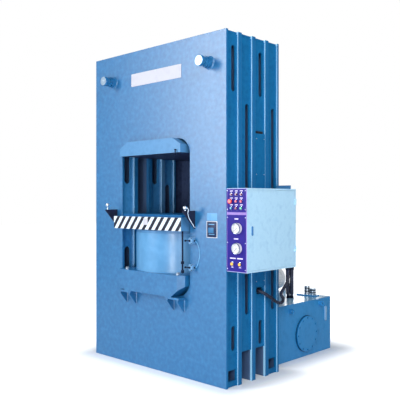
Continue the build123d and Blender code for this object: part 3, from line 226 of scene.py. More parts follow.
def striped_board(name):
    """Hand-masked safety stripes: white and black enamel on sheet, leaning to the right, with slightly
    ragged edges and a dull film of grease. The brush marks, really 1 mm wide, are drawn 6 mm wide."""
    made, tree, shader = material(name, IOR=1.5, Specular_IOR_Level=0.3)
    where = position(tree)
    split = add(tree, "ShaderNodeSeparateXYZ", {"Vector": where})
    ragged = add(tree, "ShaderNodeTexNoise", {"Vector": where, "Scale": WANDERS_PER_METRE})
    lean = maths(tree, "MULTIPLY_ADD", (split, "Z"), -STRIPE_LEAN, (split, "X"))
    wander = maths(tree, "MULTIPLY_ADD", (ragged, "Fac"), STRIPE_WANDER, lean)
    along = maths(tree, "SUBTRACT", wander, STRIPE_START)
    part = maths(tree, "FRACT", maths(tree, "DIVIDE", along, STRIPE_PITCH))
    white = maths(tree, "LESS_THAN", part, STRIPE_WHITE)
    feed(tree, shader, "Base Color", one_of_two(tree, white, linear("#13182C"), linear("#D3E4F3")))
    rub(tree, shader, where, size_mm=80, low=0.4, high=0.55)
    grain(tree, shader, where, size_mm=6, depth_mm=0.05)
    return made


RING_MM = 9


def turned_enamel(name, colours):
    """Enamel over a turned barrel: the lathe's rings, really under 1 mm apart, are drawn 9 mm apart."""
    made, tree, shader = material(name, IOR=1.5, Specular_IOR_Level=0.6)
    where = position(tree)
    feed(tree, shader, "Base Color", shades(tree, where, 300, colours))
    rub(tree, shader, where, size_mm=120, low=0.28, high=0.34)
    rings = add(tree, "ShaderNodeTexWave",
                {"Vector": where, "Scale": 1000 / RING_MM / math.tau, "Distortion": 0.6},
                wave_type="BANDS", bands_direction="Z")
    bump = add(tree, "ShaderNodeBump", {"Height": (rings, "Fac"), "Distance": 0.05 * MM, "Strength": 0.5})
    feed(tree, shader, "Normal", (bump, "Normal"))
    return made


# Painted light on the plates' cut faces: a painted highlight on the narrow steps, painted shade inside the
# hollow frame
STEP_PAINTED_HIGHLIGHT = "#9CD0F2"
INSIDE_PAINTED_SHADE = "#4E688E"
STEP_MARGIN = 4 * MM


def stepped_enamel(name, window_colour):
    """Enamel on a plate's cut face, with painted light: a painted highlight on the narrow steps beside the
    window and along the flanks, and painted shade inside the hollow frame."""
    made, tree, shader = material(name, IOR=1.5, Roughness=0.42, Specular_IOR_Level=0.3)
    where = position(tree)
    split = add(tree, "ShaderNodeSeparateXYZ", {"Vector": where})
    beside = maths(tree, "ABSOLUTE", (split, "X"))
    at_window = maths(tree, "LESS_THAN", beside, JAMB_FACE + STEP_MARGIN)
    at_flank = maths(tree, "GREATER_THAN", beside, WEB_FACE - STEP_MARGIN)
    inner = one_of_two(tree, at_window, linear(INSIDE_PAINTED_SHADE), linear(window_colour))
    feed(tree, shader, "Base Color", one_of_two(tree, at_flank, inner, linear(STEP_PAINTED_HIGHLIGHT)))
    grain(tree, shader, where, PEEL_MM, PEEL_DEPTH_MM)
    return made


def clear_glass(name):
    """Float glass of the gauges: a thin clear pane, so the dial shows and keeps its light."""
    made, _, shader = material(name, IOR=1.5, Roughness=0.03, Alpha=0.12)
    shader.inputs["Base Color"].default_value = linear("#F4FAFF")
    return made


plate_blue = sprayed_enamel("sprayed_enamel_plate", ("#0C5E94", "#17679C", "#2371A6"), 0.36,
                            specular=0.95, patch_mm=40)
web_blue = sprayed_enamel("sprayed_enamel_web", ("#0D6096", "#11699F", "#0C5C90"), 0.45, specular=0.1)
flank_blue = sprayed_enamel("sprayed_enamel_plate_side", ("#136098", "#18699F", "#14649B"), 0.45,
                            specular=0.15)
jamb_blue = sprayed_enamel("sprayed_enamel_jamb", ("#2E78B0", "#3A86BE", "#327DB6"), 0.42, specular=0.4)
platen_blue = sprayed_enamel("sprayed_enamel_platen", ("#457CAB", "#4D85B4", "#477EAD"), 0.36,
                             specular=0.4)
bolster_blue = sprayed_enamel("sprayed_enamel_bolster", ("#0F5990", "#14629A", "#105C93"), 0.45,
                              specular=0.15)
barrel_blue = turned_enamel("turned_enamel_barrel", ("#4C8ABA", "#5794C3", "#4A87B6"))
tank_blue = sprayed_enamel("sprayed_enamel_tank", ("#2C86C4", "#368FCD", "#308AC8"), 0.38, specular=0.35)
# Painted light: the lid's top faces take a much lighter enamel than the tank, as if lit from above
lid_top_painted_light = sprayed_enamel("painted_light_lid_top", ("#86C2EC", "#96CEF4", "#80BCE8"), 0.22,
                          specular=0.8, patch_mm=200)
motor_grey = sprayed_enamel("sprayed_enamel_motor", ("#E2E6EA", "#EAEEF2", "#E4E8EC"), 0.5, patch_mm=120)
cabinet_blue = powder_coat("powder_coat_cabinet", ("#A0CDEB", "#B4DCF5", "#A8D4F0"))
panel_lilac = powder_coat("powder_coat_lilac", ("#8E74BE", "#977EC6", "#927AC2"))
# Painted highlight on the steps and painted shade inside the frame; the middle plate keeps a plain blue in
# the window
painted_highlight_step = stepped_enamel("painted_highlight_step_pale", STEP_PAINTED_HIGHLIGHT)
quiet_step_painted_light = stepped_enamel("painted_light_step_quiet", "#2B6FA5")
# Painted shade: a darker blue for the faces inside the hollow frame
inside_painted_shade = sprayed_enamel("painted_shade_inside", ("#5C789E", "#6682A8", "#5E7AA0"), 0.6,
                             specular=0.1, patch_mm=90)
navy_paint = sprayed_enamel("sprayed_enamel_navy", ("#161B30", "#1D2440", "#141A2C"), 0.5, patch_mm=100)
guard_paint = sprayed_enamel("sprayed_enamel_guard", ("#3B4A6C", "#445478", "#364466"), 0.6,
                             specular=0.15)
# Painted shade: a dark navy for the underside of the upper platen
underside_painted_shade = sprayed_enamel("painted_shade_underside", ("#1B2444", "#222C50", "#1C2646"), 0.5, patch_mm=100)
sign_white = sprayed_enamel("stove_enamel_white", ("#B6B8C4", "#BCBEC9", "#B8BAC6"), 0.45,
                            specular=0.15, patch_mm=90)
label_lilac = sprayed_enamel("printed_label_lilac", ("#CFC6F0", "#D8D0F6", "#D3CAF3"), 0.5, patch_mm=10)
field_navy = sprayed_enamel("etched_field_navy", ("#0C1E40", "#12284E", "#0E2246"), 0.4, patch_mm=20)
field_blue = sprayed_enamel("etched_field_blue", ("#2A6294", "#32709F", "#2D689A"), 0.4, patch_mm=20)
pale_label = sprayed_enamel("pale_blue_label", ("#5C97C6", "#669FCD", "#629BC9"), 0.45, patch_mm=30)
board_paint = striped_board("striped_enamel_board")
zinc = metal("zinc_plated_steel", "#C9D6E2", 0.32, grain_mm=3, depth_mm=0.03)
black_oxide = metal("blackened_steel", "#1B2236", 0.42, grain_mm=3, depth_mm=0.04)
machined = metal("machined_trunnion_face", "#9DB4CA", 0.36, grain_mm=1.5, depth_mm=0.02)
chrome = metal("hard_chrome", "#CBD6DF", 0.12, grain_mm=2, depth_mm=0.004)
steel_ball = metal("polished_stainless", "#E6EEF5", 0.3, grain_mm=4, depth_mm=0.02)
rubber = cable_rubber("chloroprene_sheath", ("#141829", "#1D2336", "#2A3148"))
seal_rubber = cable_rubber("nitrile_seal", ("#10131E", "#161B28", "#1E2434"))
white_sheath = cable_rubber("pale_pvc_sheath", ("#C6DCF2", "#D6E8FA", "#E2F0FC"))
blue_sheath = cable_rubber("blue_pvc_sheath", ("#5D9CCB", "#6AA8D6", "#79B4DF"))
grey_plastic = moulded_plastic("moulded_grey_polyamide", "#A5ABB2", 0.45)
switch_paint = moulded_plastic("die_cast_switch_case", "#5C8DB8", 0.4)
handle_blue = moulded_plastic("moulded_blue_handle", "#2E74B2", 0.4)
film_purple = moulded_plastic("polyester_film_purple", "#2E2682", 0.32, specular=0.08)
red_cap = moulded_plastic("moulded_red_cap", "#F0332A", 0.28, coat=0.5)
dull_red_cap = moulded_plastic("moulded_dull_red_cap", "#C8304E", 0.3, coat=0.5)
dark_red_cap = moulded_plastic("moulded_dark_red_cap", "#7A1A44", 0.3, coat=0.5)
green_cap = moulded_plastic("moulded_green_cap", "#3FB089", 0.3, coat=0.5)
teal_cap = moulded_plastic("moulded_teal_cap", "#2C84A8", 0.3, coat=0.5)
amber_cap = moulded_plastic("moulded_amber_cap", "#FFC04A", 0.28, coat=0.5)
lamp_red = moulded_plastic("moulded_lamp_lens", "#6A2250", 0.2, coat=0.8)
gauge_white = moulded_plastic("stoved_gauge_case", "#DEDCE2", 0.4, specular=0.3)
sight_plastic = moulded_plastic("moulded_sight_plastic", "#8FB9DC", 0.2, coat=0.6)
dial_ink = moulded_plastic("printed_dial_ink", "#1E2440", 0.6)
glass = clear_glass("float_glass")

finishes = {
    plate_blue: PLATES + ("lifting_trunnions", "support_brackets", "cylinder_base"),
    web_blue: ("outer_webs", "foot_lugs", "cable_duct"),
    jamb_blue: ("jamb_webs",),
    platen_blue: ("upper_platen", "moving_platen", "gland_ring"),
    bolster_blue: ("lower_bolster",),
    barrel_blue: ("cylinder_barrel",),
    tank_blue: ("tank_body", "tank_lid", "manhole_cover"),
    motor_grey: ("pump_motor",),
    cabinet_blue: ("cabinet_shell", "cabinet_door"),
    navy_paint: ("guard_brackets",),
    guard_paint: ("rear_guard",),
    sign_white: ("front_signs",),
    board_paint: ("hazard_board",),
    zinc: ("cylinder_bolts", "hinge_pins", "oil_pipes", "filler_cap"),
    switch_paint: ("limit_switches",),
    handle_blue: ("door_handle",),
    black_oxide: ("temperature_probe", "striker_rod", "switch_lever_upper", "switch_lever_lower",
                  "hydraulic_pump", "valve_block", "gauge_needle_upper", "gauge_needle_lower"),
    chrome: ("ram",),
    steel_ball: ("guard_sensors",),
    rubber: ("cabinet_cables", "sensor_cables"),
    seal_rubber: ("ram_seal",),
    grey_plastic: ("control_gear",),
    film_purple: ("panel_plates",),
    red_cap: ("e_stop_button",),
    dull_red_cap: ("red_button_middle", "red_button_right"),
    dark_red_cap: ("dark_button_middle",),
    teal_cap: ("green_button_left",),
    green_cap: ("green_button_right",),
    amber_cap: ("start_button_left", "start_button_right"),
    lamp_red: ("indicator_lamps",),
    gauge_white: ("gauges",),
    glass: ("gauge_lenses",),
    sight_plastic: ("level_gauge",),
}
for finish, names in finishes.items():
    for name in names:
        nodes[name].data.materials.clear()
        nodes[name].data.materials.append(finish)


# Second finishes on some faces of a node

def repaint(node, finish, chosen):
    """Gives a second finish to the faces for which chosen(centre, normal) is true."""
    mesh = nodes[node].data
    mesh.materials.append(finish)
    for face in mesh.polygons:
        if chosen(face.center, face.normal):
            face.material_index = len(mesh.materials) - 1


# A face looks squarely along an axis when its normal reaches this far along it
SQUARE_ON = 0.9
shell_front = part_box("cabinet_shell")[0].y
trunnion_low, trunnion_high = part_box("lifting_trunnions")


def faces_front_or_back(centre, normal):
    return abs(normal.y) > SQUARE_ON


def on_the_flank(centre, normal):
    return abs(normal.x) > SQUARE_ON and abs(centre.x) > SIDE_FACE - MM


def in_the_window(centre, normal):
    return abs(normal.x) > SQUARE_ON and abs(centre.x) < WINDOW_SIDE + 35 * MM


def faces_in(centre, normal):
    """Looks towards the middle of the press."""
    return normal.x * centre.x < -0.1


def faces_out(centre, normal):
    """Looks away from the middle of the press."""
    return normal.x * centre.x > 0.1


def turned_end(centre, normal):
    reach = min(centre.y - trunnion_low.y, trunnion_high.y - centre.y)
    return abs(normal.y) > SQUARE_ON and reach < MM


def lid_sheet(centre, normal):
    return normal.z > SQUARE_ON and centre.z < TANK_TOP + 12 * MM


def conduit_glands(centre, normal):
    return centre.z > TANK_TOP + MM and centre.y < LID_FITTINGS_SPLIT


def filler_necks(centre, normal):
    return centre.z > TANK_TOP + 13 * MM and centre.y > LID_FITTINGS_SPLIT


def shell_rim(centre, normal):
    return normal.y < -SQUARE_ON and centre.y < shell_front + MM


def shell_tab(centre, normal):
    return centre.y > CABINET_BACK - MM / 2 and centre.z > SHELL_TAB_LOW


# Painted highlight on the plates' narrow front and back steps, painted shade on their faces inside the
# hollow frame
for name in ("front_main_plate", "rear_main_plate"):
    repaint(name, painted_highlight_step, faces_front_or_back)
repaint("middle_main_plate", quiet_step_painted_light, faces_front_or_back)
# Painted light: the rear main plate's sides in the window take the lighter platen enamel, so they look lit
repaint("rear_main_plate", platen_blue, in_the_window)
# Painted shade: the manhole cover's sides take the darker web enamel
repaint("manhole_cover", web_blue, lambda centre, normal: normal.x < 0.5)
# Painted highlight on the rear plate's front face beside the window and along the flanks, painted shade
# between
repaint("rear_plate", painted_highlight_step, lambda centre, normal: normal.y < -SQUARE_ON)
# Painted shade on the front plate's back face, inside the frame
repaint("front_plate", inside_painted_shade, lambda centre, normal: normal.y > SQUARE_ON)
for name in PLATES:
    repaint(name, flank_blue, on_the_flank)
# Painted shade on the web faces inside the hollow frame
repaint("outer_webs", inside_painted_shade, faces_in)
repaint("jamb_webs", inside_painted_shade, faces_out)
# Painted shade under the upper platen
repaint("upper_platen", underside_painted_shade, lambda centre, normal: normal.z < -SQUARE_ON)
repaint("cabinet_shell", panel_lilac, shell_rim)
repaint("cabinet_shell", black_oxide, lambda centre, normal: centre.z < CABINET_FOOT - MM)
repaint("cabinet_shell", platen_blue, shell_tab)
repaint("lifting_trunnions", machined, turned_end)
# Painted light on the top faces of the tank lid
repaint("tank_lid", lid_top_painted_light, lid_sheet)
repaint("tank_lid", black_oxide, conduit_glands)
repaint("tank_lid", zinc, filler_necks)


# Shape helpers

def place(name, data, finish, body="frame"):
    """Puts a finished mesh or curve into the scene, on the body that carries it."""
    data.materials.append(finish)
    made = bpy.data.objects.new(name, data)
    bpy.context.scene.collection.objects.link(made)
    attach(made, body)
    return made


def finish_mesh(name, shape, finish, body="frame"):
    """Writes a bmesh out as a piece that is smooth except at its sharp edges."""
    bmesh.ops.recalc_face_normals(shape, faces=shape.faces)
    mesh = bpy.data.meshes.new(name)
    shape.to_mesh(mesh)
    shape.free()
    for face in mesh.polygons:
        face.use_smooth = True
    mesh.set_sharp_from_angle(angle=math.radians(35))
    return place(name, mesh, finish, body)


def bridge(shape, near, far):
    """Joins two closed rows of points, point by point, with faces."""
    for i in range(len(near)):
        j = (i + 1) % len(near)
        shape.faces.new((near[i], near[j], far[j], far[i]))


def turned(shape, centre, axis, profile, steps=32, ring=False):
    """Adds a lathe form: profile is a row of (radius, distance along the axis).
    It is capped at both ends, or closed on itself as a ring."""
    turn = Vector(axis).to_track_quat("Z", "Y").to_matrix()
    angles = [math.tau * step / steps for step in range(steps)]
    rows = []
    for radius, along in profile:
        spots = [Vector((radius * math.cos(angle), radius * math.sin(angle), along)) for angle in angles]
        rows.append([shape.verts.new(Vector(centre) + turn @ spot) for spot in spots])
    for near, far in zip(rows, rows[1:]):
        bridge(shape, near, far)
    if ring:
        bridge(shape, rows[-1], rows[0])
    else:
        shape.faces.new(rows[0])
        shape.faces.new(rows[-1])


def slab(shape, low, high, edge):
    """Adds a block from corner low to corner high, its edges rounded by edge."""
    size = Vector(high) - Vector(low)
    middle = (Vector(high) + Vector(low)) / 2
    turn = Matrix.Translation(middle) @ Matrix.Diagonal((*size, 1))
    block = bmesh.ops.create_cube(shape, size=1.0, matrix=turn)
    edges = list({edge_of for vert in block["verts"] for edge_of in vert.link_edges})
    bmesh.ops.bevel(shape, geom=edges, offset=edge, segments=2, profile=0.5, affect="EDGES")


WELD_RIPPLE = 14 * MM
RIPPLE_SWELL = 1.14
BEAD_CROWN = 0.62


def weld(shape, start, end, side_a, side_b, leg):
    """Adds a fillet weld in the corner from start to end, which opens along side_a and side_b.
    Its ripples, really 2 mm apart, are drawn 14 mm apart."""
    start, end = Vector(start), Vector(end)
    side_a, side_b = Vector(side_a), Vector(side_b)
    toes = (side_a, (side_a + side_b) * BEAD_CROWN, side_b)
    count = max(2, int((end - start).length / WELD_RIPPLE))
    rows = []
    for step in range(count + 1):
        corner = start.lerp(end, step / count)
        size = leg * (1.0 if step % 2 else RIPPLE_SWELL)
        rows.append([shape.verts.new(corner)] + [shape.verts.new(corner + toe * size) for toe in toes])
    for near, far in zip(rows, rows[1:]):
        bridge(shape, near, far)
    shape.faces.new(rows[0])
    shape.faces.new(rows[-1])


TUBE_SIDES = 16
STATIONS_PER_RIB = 4


def ribbed_tube(name, path, radius, pitch, depth, spiral, finish):
    """A hose along path with ribs each pitch: rings, or one spiral that winds round it."""
    shape = bmesh.new()
    gaps = [(b - a).length for a, b in zip(path, path[1:])]
    total = sum(gaps)
    stations = max(8, int(total / pitch) * STATIONS_PER_RIB)
    rows = []
    leg, walked = 0, 0.0
    normal = None
    for station in range(stations + 1):
        reach = total * station / stations
        while leg < len(gaps) - 1 and walked + gaps[leg] < reach:
            walked += gaps[leg]
            leg += 1
        point = path[leg].lerp(path[leg + 1], min(1.0, (reach - walked) / gaps[leg]))
        heading = (path[min(leg + 2, len(path) - 1)] - path[max(leg - 1, 0)]).normalized()
        normal = heading.orthogonal() if normal is None else normal - heading * normal.dot(heading)
        normal.normalize()
        other = heading.cross(normal)
        row = []
        for side in range(TUBE_SIDES):
            angle = math.tau * side / TUBE_SIDES
            phase = math.tau * reach / pitch - (angle if spiral else 0.0)
            size = radius - depth * (0.5 - 0.5 * math.cos(phase))
            row.append(shape.verts.new(point + (normal * math.cos(angle) + other * math.sin(angle)) * size))
        rows.append(row)
    for near, far in zip(rows, rows[1:]):
        bridge(shape, near, far)
    shape.faces.new(rows[0])
    shape.faces.new(rows[-1])
    return finish_mesh(name, shape, finish)


# Cords

def nurbs_curve(name, points, width=0.0):
    """A smooth NURBS line with these control points, with a round section where it has a width."""
    curve = bpy.data.curves.new(name, "CURVE")
    curve.dimensions = "3D"
    curve.resolution_u = 16
    curve.bevel_depth = width / 2
    curve.bevel_resolution = 3
    curve.use_fill_caps = width > 0
    line = curve.splines.new("NURBS")
    line.points.add(len(points) - 1)
    for knot, point in zip(line.points, points):
        knot.co = (*point, 1.0)
    line.order_u = 3
    line.use_endpoint_u = True
    return curve


def line_of(name, points):
    """The points of the NURBS line, for a tube that follows it."""
    guide = bpy.data.objects.new(name, nurbs_curve(name, points))
    bpy.context.scene.collection.objects.link(guide)
    bpy.context.view_layer.update()
    mesh = bpy.data.meshes.new_from_object(guide.evaluated_get(bpy.context.evaluated_depsgraph_get()))
    path = [vert.co.copy() for vert in mesh.vertices]
    bpy.data.objects.remove(guide)
    bpy.data.meshes.remove(mesh)
    return path


CONDUIT_EXIT = Vector((SIDE_FACE + 178 * MM, 283 * MM, 0))
CONDUIT_LANDING = Vector((507 * MM, 1083 * MM, 0))
CONDUIT_SPREAD = 18 * MM
CONDUIT_DIAMETER = 33 * MM
CONDUIT_START = 0.956
HARNESS_DIAMETER = 28 * MM
THIN_CABLE = 6 * MM
fall = CONDUIT_LANDING - CONDUIT_EXIT
run = fall.normalized()
across = Vector((run.y, -run.x, 0))
conduit_profile = (
    (0, CONDUIT_START),
    (0, 0.890),
    (0.034, 0.812),
    (0.118, 0.748),
    (0.232, 0.712),
    (0.360, 0.694),
    (0.492, 0.688),
    (0.624, 0.687),
    (0.752, 0.691),
    (0.870, 0.684),
    (fall.length - 0.014, 0.640),
    (fall.length, 0.606),
    (fall.length, 0.574),
)
for name, side in (("conduit_left", -CONDUIT_SPREAD), ("conduit_right", CONDUIT_SPREAD)):
    beside = CONDUIT_EXIT + across * side
    route = [beside + run * reach + Vector((0, 0, z)) for reach, z in conduit_profile]
    path = line_of(name + "_line", route)
    conduit = ribbed_tube(name, path, CONDUIT_DIAMETER / 2 + 1.2 * MM, pitch=9 * MM, depth=1.8 * MM,
                          spiral=False, finish=rubber)
    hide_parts("cabinet_cables")

harness_start = CONDUIT_EXIT + across * -10 * MM - run * 35 * MM
harness_route = (
    (harness_start.x, harness_start.y, CONDUIT_START),
    (harness_start.x, harness_start.y, 0.905),
    (SIDE_FACE + 0.185, 0.233, 0.844),
    (SIDE_FACE + 0.150, 0.230, 0.792),
    (SIDE_FACE + 0.105, 0.247, 0.737),
    (SIDE_FACE + 0.082, 0.306, 0.702),
    (SIDE_FACE + 0.062, 0.350, 0.682),
    (SIDE_FACE + 0.050, 0.358, 0.652),
    (SIDE_FACE + 0.042, 0.332, 0.636),
    (SIDE_FACE + 0.037, 0.285, 0.650),
    (SIDE_FACE + 0.033, 0.235, 0.680),
    (SIDE_FACE + 0.030, 0.192, 0.708),
    (SIDE_FACE + 0.022, 0.130, 0.742),
    (SIDE_FACE - 0.006, 0.104, 0.766),
    (SIDE_FACE - 0.054, 0.098, 0.770),
)
path = line_of("harness_line", harness_route)
harness = ribbed_tube("cable_harness", path, HARNESS_DIAMETER / 2 + 1.5 * MM, pitch=24 * MM, depth=3.2 * MM,
                      spiral=True, finish=rubber)
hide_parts("cabinet_cables")

BRACKET_X = 525 * MM
BRACKET_TOP = 1.480
ball_y = plate_front - 119 * MM
ball_z = BRACKET_TOP + 25 * MM
beside_bracket = BRACKET_X + 9.5 * MM
sensor_route = (
    (BRACKET_X + 0.018, ball_y, ball_z),
    (BRACKET_X + 0.034, ball_y, ball_z),
    (BRACKET_X + 0.038, ball_y + 0.004, ball_z - 0.020),
    (BRACKET_X + 0.020, ball_y + 0.012, ball_z - 0.044),
    (beside_bracket, plate_front - 0.090, BRACKET_TOP - 0.038),
    (beside_bracket, plate_front - 0.079, BRACKET_TOP - 0.066),
    (beside_bracket, plate_front - 0.052, BRACKET_TOP - 0.098),
    (beside_bracket, plate_front - 0.030, BRACKET_TOP - 0.122),
    (beside_bracket, plate_front - 0.018, BRACKET_TOP - 0.144),
    (beside_bracket, plate_front, BRACKET_TOP - 0.144),
)
switch_low, switch_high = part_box("limit_switches")
cable_y = plate_front - 3.3 * MM
gland_y = cable_y - 10 * MM
switch_route = (
    (switch_high.x, gland_y, UPPER_SWITCH),
    (switch_high.x + 0.020, gland_y, UPPER_SWITCH),
    (switch_high.x + 0.036, cable_y, UPPER_SWITCH - 0.034),
    (switch_high.x + 0.050, cable_y, UPPER_SWITCH - 0.074),
    (switch_high.x + 0.058, cable_y, UPPER_SWITCH - 0.122),
    (switch_high.x + 0.044, cable_y, UPPER_SWITCH - 0.166),
    (switch_high.x + 0.034, cable_y, UPPER_SWITCH - 0.202),
    (switch_high.x + 0.020, gland_y, LOWER_SWITCH),
    (switch_high.x, gland_y, LOWER_SWITCH),
)
for name, route, length, sheath in (
    ("sensor_lead", sensor_route, 0.234, white_sheath),
    ("switch_lead", switch_route, 0.278, blue_sheath),
):
    lead = place(name, nurbs_curve(name, route, THIN_CABLE), sheath)
    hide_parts("sensor_cables")


# Welds along the webs, the brackets and the trunnions

WELD_LEG = 8 * MM
GUSSET_LEG = 6 * MM
plate_boxes = [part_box(name) for name in PLATES]
bays = [(near[1].y, far[0].y) for near, far in zip(plate_boxes, plate_boxes[1:])]


def web_welds(shape, x, outward, bay, low, high):
    """Two upright welds where a web meets the plates before and behind its bay."""
    for plate_face, inward in zip(bay, (1, -1)):
        weld(shape, (x, plate_face, low), (x, plate_face, high), (outward, 0, 0), (0, inward, 0), WELD_LEG)


# The two inner bays are open at the foot, and the duct covers a stretch of the third one on the right
flank_welds = bmesh.new()
for side in (1, -1):
    for number, bay in enumerate(bays):
        foot = PIT_TOP if number in (1, 2) else 0.0
        spans = [(foot, WEB_TOP)]
        if number == 2 and side == 1:
            spans = [(foot, DUCT_LOW), (DUCT_HIGH, WEB_TOP)]
        for low, high in spans:
            web_welds(flank_welds, side * WEB_FACE, side, bay, low, high)
finish_mesh("flank_welds", flank_welds, web_blue)

# The second bay from the front is open beside the window, so it has no welds there
jamb_welds = bmesh.new()
for side in (1, -1):
    for bay in (bays[0], bays[2], bays[3]):
        web_welds(jamb_welds, side * JAMB_FACE, -side, bay, WINDOW_LOW, WINDOW_HIGH)
finish_mesh("jamb_welds", jamb_welds, jamb_blue)

GUSSET_PLACES = (260 * MM, 390 * MM)
GUSSET_HALF = 9.5 * MM
GUSSET_LOW, GUSSET_HIGH = 0.585, 0.695
bracket_welds = bmesh.new()
for face, outward in ((plate_front, -1), (plate_rear, 1)):
    for gusset_x in [side * place_x for side in (1, -1) for place_x in GUSSET_PLACES]:
        for edge in (1, -1):
            x = gusset_x + edge * GUSSET_HALF
            weld(bracket_welds, (x, face, GUSSET_LOW), (x, face, GUSSET_HIGH), (edge, 0, 0),
                 (0, outward, 0), GUSSET_LEG)
finish_mesh("bracket_welds", bracket_welds, plate_blue)

TRUNNION_MIDDLE = 51 * MM
TRUNNION_HALF_SPAN = 647.5 * MM
TRUNNION_Z = 2.740
TRUNNION_REACH = 133 * MM
weld_collar = [(48 * MM, 0), (58 * MM, 0), (55 * MM, 5 * MM), (48.5 * MM, 9 * MM)]
lathe_centre = [(9 * MM, -2 * MM), (9 * MM, 0.4 * MM), (8 * MM, 0.9 * MM), (3 * MM, -1.5 * MM)]
trunnion_welds = bmesh.new()
trunnion_centres = bmesh.new()
for face, outward in ((plate_front, -1), (plate_rear, 1)):
    for x in (TRUNNION_MIDDLE - TRUNNION_HALF_SPAN, TRUNNION_MIDDLE + TRUNNION_HALF_SPAN):
        end = face + outward * TRUNNION_REACH
        turned(trunnion_welds, (x, face, TRUNNION_Z), (0, outward, 0), weld_collar, 40, ring=True)
        turned(trunnion_centres, (x, end, TRUNNION_Z), (0, outward, 0), lathe_centre, 24)
finish_mesh("trunnion_welds", trunnion_welds, plate_blue)
finish_mesh("trunnion_centres", trunnion_centres, zinc)


# Sign rivets, rating plate and bare labels on the front

SIGN_X, SIGN_Z, SIGN_HALF, SIGN_HALF_HIGH = 17 * MM, 2.724, 341.5 * MM, 60.5 * MM
SIGN_INSET = 12 * MM
RATING_X, RATING_Z, RATING_HALF, RATING_HALF_HIGH = 730 * MM, 1.323, 61.5 * MM, 71.5 * MM
RATING_INSET = 6 * MM
SMALL_RIVET = 0.7
dome = [(5.0 * MM, 0), (4.6 * MM, 1.2 * MM), (3.2 * MM, 2.2 * MM), (1.2 * MM, 2.6 * MM)]
small_dome = [(radius * SMALL_RIVET, along * SMALL_RIVET) for radius, along in dome]
sign_face = plate_front - 3 * MM
rivets = bmesh.new()
for x in (SIGN_X - SIGN_HALF + SIGN_INSET, SIGN_X, SIGN_X + SIGN_HALF - SIGN_INSET):
    for z in (SIGN_Z - SIGN_HALF_HIGH + SIGN_INSET, SIGN_Z + SIGN_HALF_HIGH - SIGN_INSET):
        turned(rivets, (x, sign_face, z), (0, -1, 0), dome, 20)
for x in (RATING_X - RATING_HALF + RATING_INSET, RATING_X + RATING_HALF - RATING_INSET):
    for z in (RATING_Z - RATING_HALF_HIGH + RATING_INSET, RATING_Z + RATING_HALF_HIGH - RATING_INSET):
        turned(rivets, (x, sign_face, z), (0, -1, 0), small_dome, 16)
finish_mesh("sign_rivets", rivets, zinc)


def plaque(shape, x, z, wide, high, face, proud, edge):
    """Adds a thin raised field, centred at x and z, that stands proud of a front face."""
    slab(shape, (x - wide / 2, face - proud, z - high / 2),
         (x + wide / 2, face + 0.2 * MM, z + high / 2), edge)


PALE_STRIP_PROUD = 1.6 * MM
UPPER_LABEL_Z = 1.430
for name, x, z, wide, high, face, proud, finish in (
    ("rating_field", RATING_X, RATING_Z, 107 * MM, 130 * MM, sign_face, MM, field_navy),
    ("rating_head_strip", RATING_X - 4 * MM, RATING_Z + 43 * MM, 66 * MM, 7 * MM, sign_face,
     PALE_STRIP_PROUD, pale_label),
    ("rating_window", RATING_X - 10 * MM, RATING_Z - 7 * MM, 62 * MM, 44 * MM, sign_face,
     PALE_STRIP_PROUD, field_blue),
    ("rating_foot_strip", RATING_X - 2 * MM, RATING_Z - 41 * MM, 66 * MM, 6 * MM, sign_face,
     PALE_STRIP_PROUD, pale_label),
    ("bare_upper_label", RATING_X, UPPER_LABEL_Z, 116 * MM, 64 * MM, plate_front, 0.8 * MM, pale_label),
):
    field = bmesh.new()
    plaque(field, x, z, wide, high, face, proud, edge=0.4 * MM)
    finish_mesh(name, field, finish)


# Operating panel: labels, screws, rings and dials

panel_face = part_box("panel_plates")[0].y + 8 * MM
button_columns = [SIDE_FACE + out for out in (54 * MM, 107 * MM, 160 * MM)]
start_columns = [SIDE_FACE + out for out in (65 * MM, 146 * MM)]
LAMP_ROW, STOP_ROW, START_ROW = 1.620, 1.562, 1.506
TWO_HAND_ROW = CABINET_FOOT + 68 * MM
LABEL_RISE = 27 * MM
label_bars = [(x, row + LABEL_RISE, 30 * MM, 8 * MM)
              for x in button_columns for row in (LAMP_ROW, STOP_ROW, START_ROW)]
# The wider bars above the gauges and the two-hand buttons: x, z, width and height
label_bars += [
    (0.998, 1.418, 40 * MM, 10 * MM),
    (0.994, 1.255, 46 * MM, 10 * MM),
    (0.960, 1.095, 62 * MM, 10 * MM),
    (1.036, 1.095, 60 * MM, 10 * MM),
    (0.955, 1.022, 22 * MM, 7 * MM),
    (1.036, 1.022, 22 * MM, 7 * MM),
]
labels = bmesh.new()
for x, z, wide, high in label_bars:
    plaque(labels, x, z, wide, high, panel_face, proud=0.7 * MM, edge=0.3 * MM)
finish_mesh("panel_labels", labels, label_lilac)

SCREW_COLUMNS = (SIDE_FACE + 12 * MM, SIDE_FACE + 203 * MM)
SCREW_ROWS = (1.005, 1.222, 1.430, 1.495, 1.650)
socket_head = [(5 * MM, 0), (4.6 * MM, 1.6 * MM), (3 * MM, 2.4 * MM), (1 * MM, 1.4 * MM)]
panel_screws = bmesh.new()
for x in SCREW_COLUMNS:
    for z in SCREW_ROWS:
        turned(panel_screws, (x, panel_face, z), (0, -1, 0), socket_head, 20)
finish_mesh("panel_screws", panel_screws, zinc)


def bezel(shape, x, z, wider=0.0):
    """Adds a plated ring round a button of the panel; wider adds to its radius."""
    section = [(13.4 * MM, 0), (15.4 * MM, 0), (15.0 * MM, 2.4 * MM), (13.6 * MM, 2.6 * MM)]
    profile = [(radius + wider, along) for radius, along in section]
    turned(shape, (x, panel_face, z), (0, -1, 0), profile, 32, ring=True)


rings = bmesh.new()
for x in button_columns:
    bezel(rings, x, STOP_ROW)
    bezel(rings, x, START_ROW)
    bezel(rings, x, LAMP_ROW, wider=-2.6 * MM)
for x in start_columns:
    bezel(rings, x, TWO_HAND_ROW, wider=2.6 * MM)
finish_mesh("bezel_rings", rings, chrome)

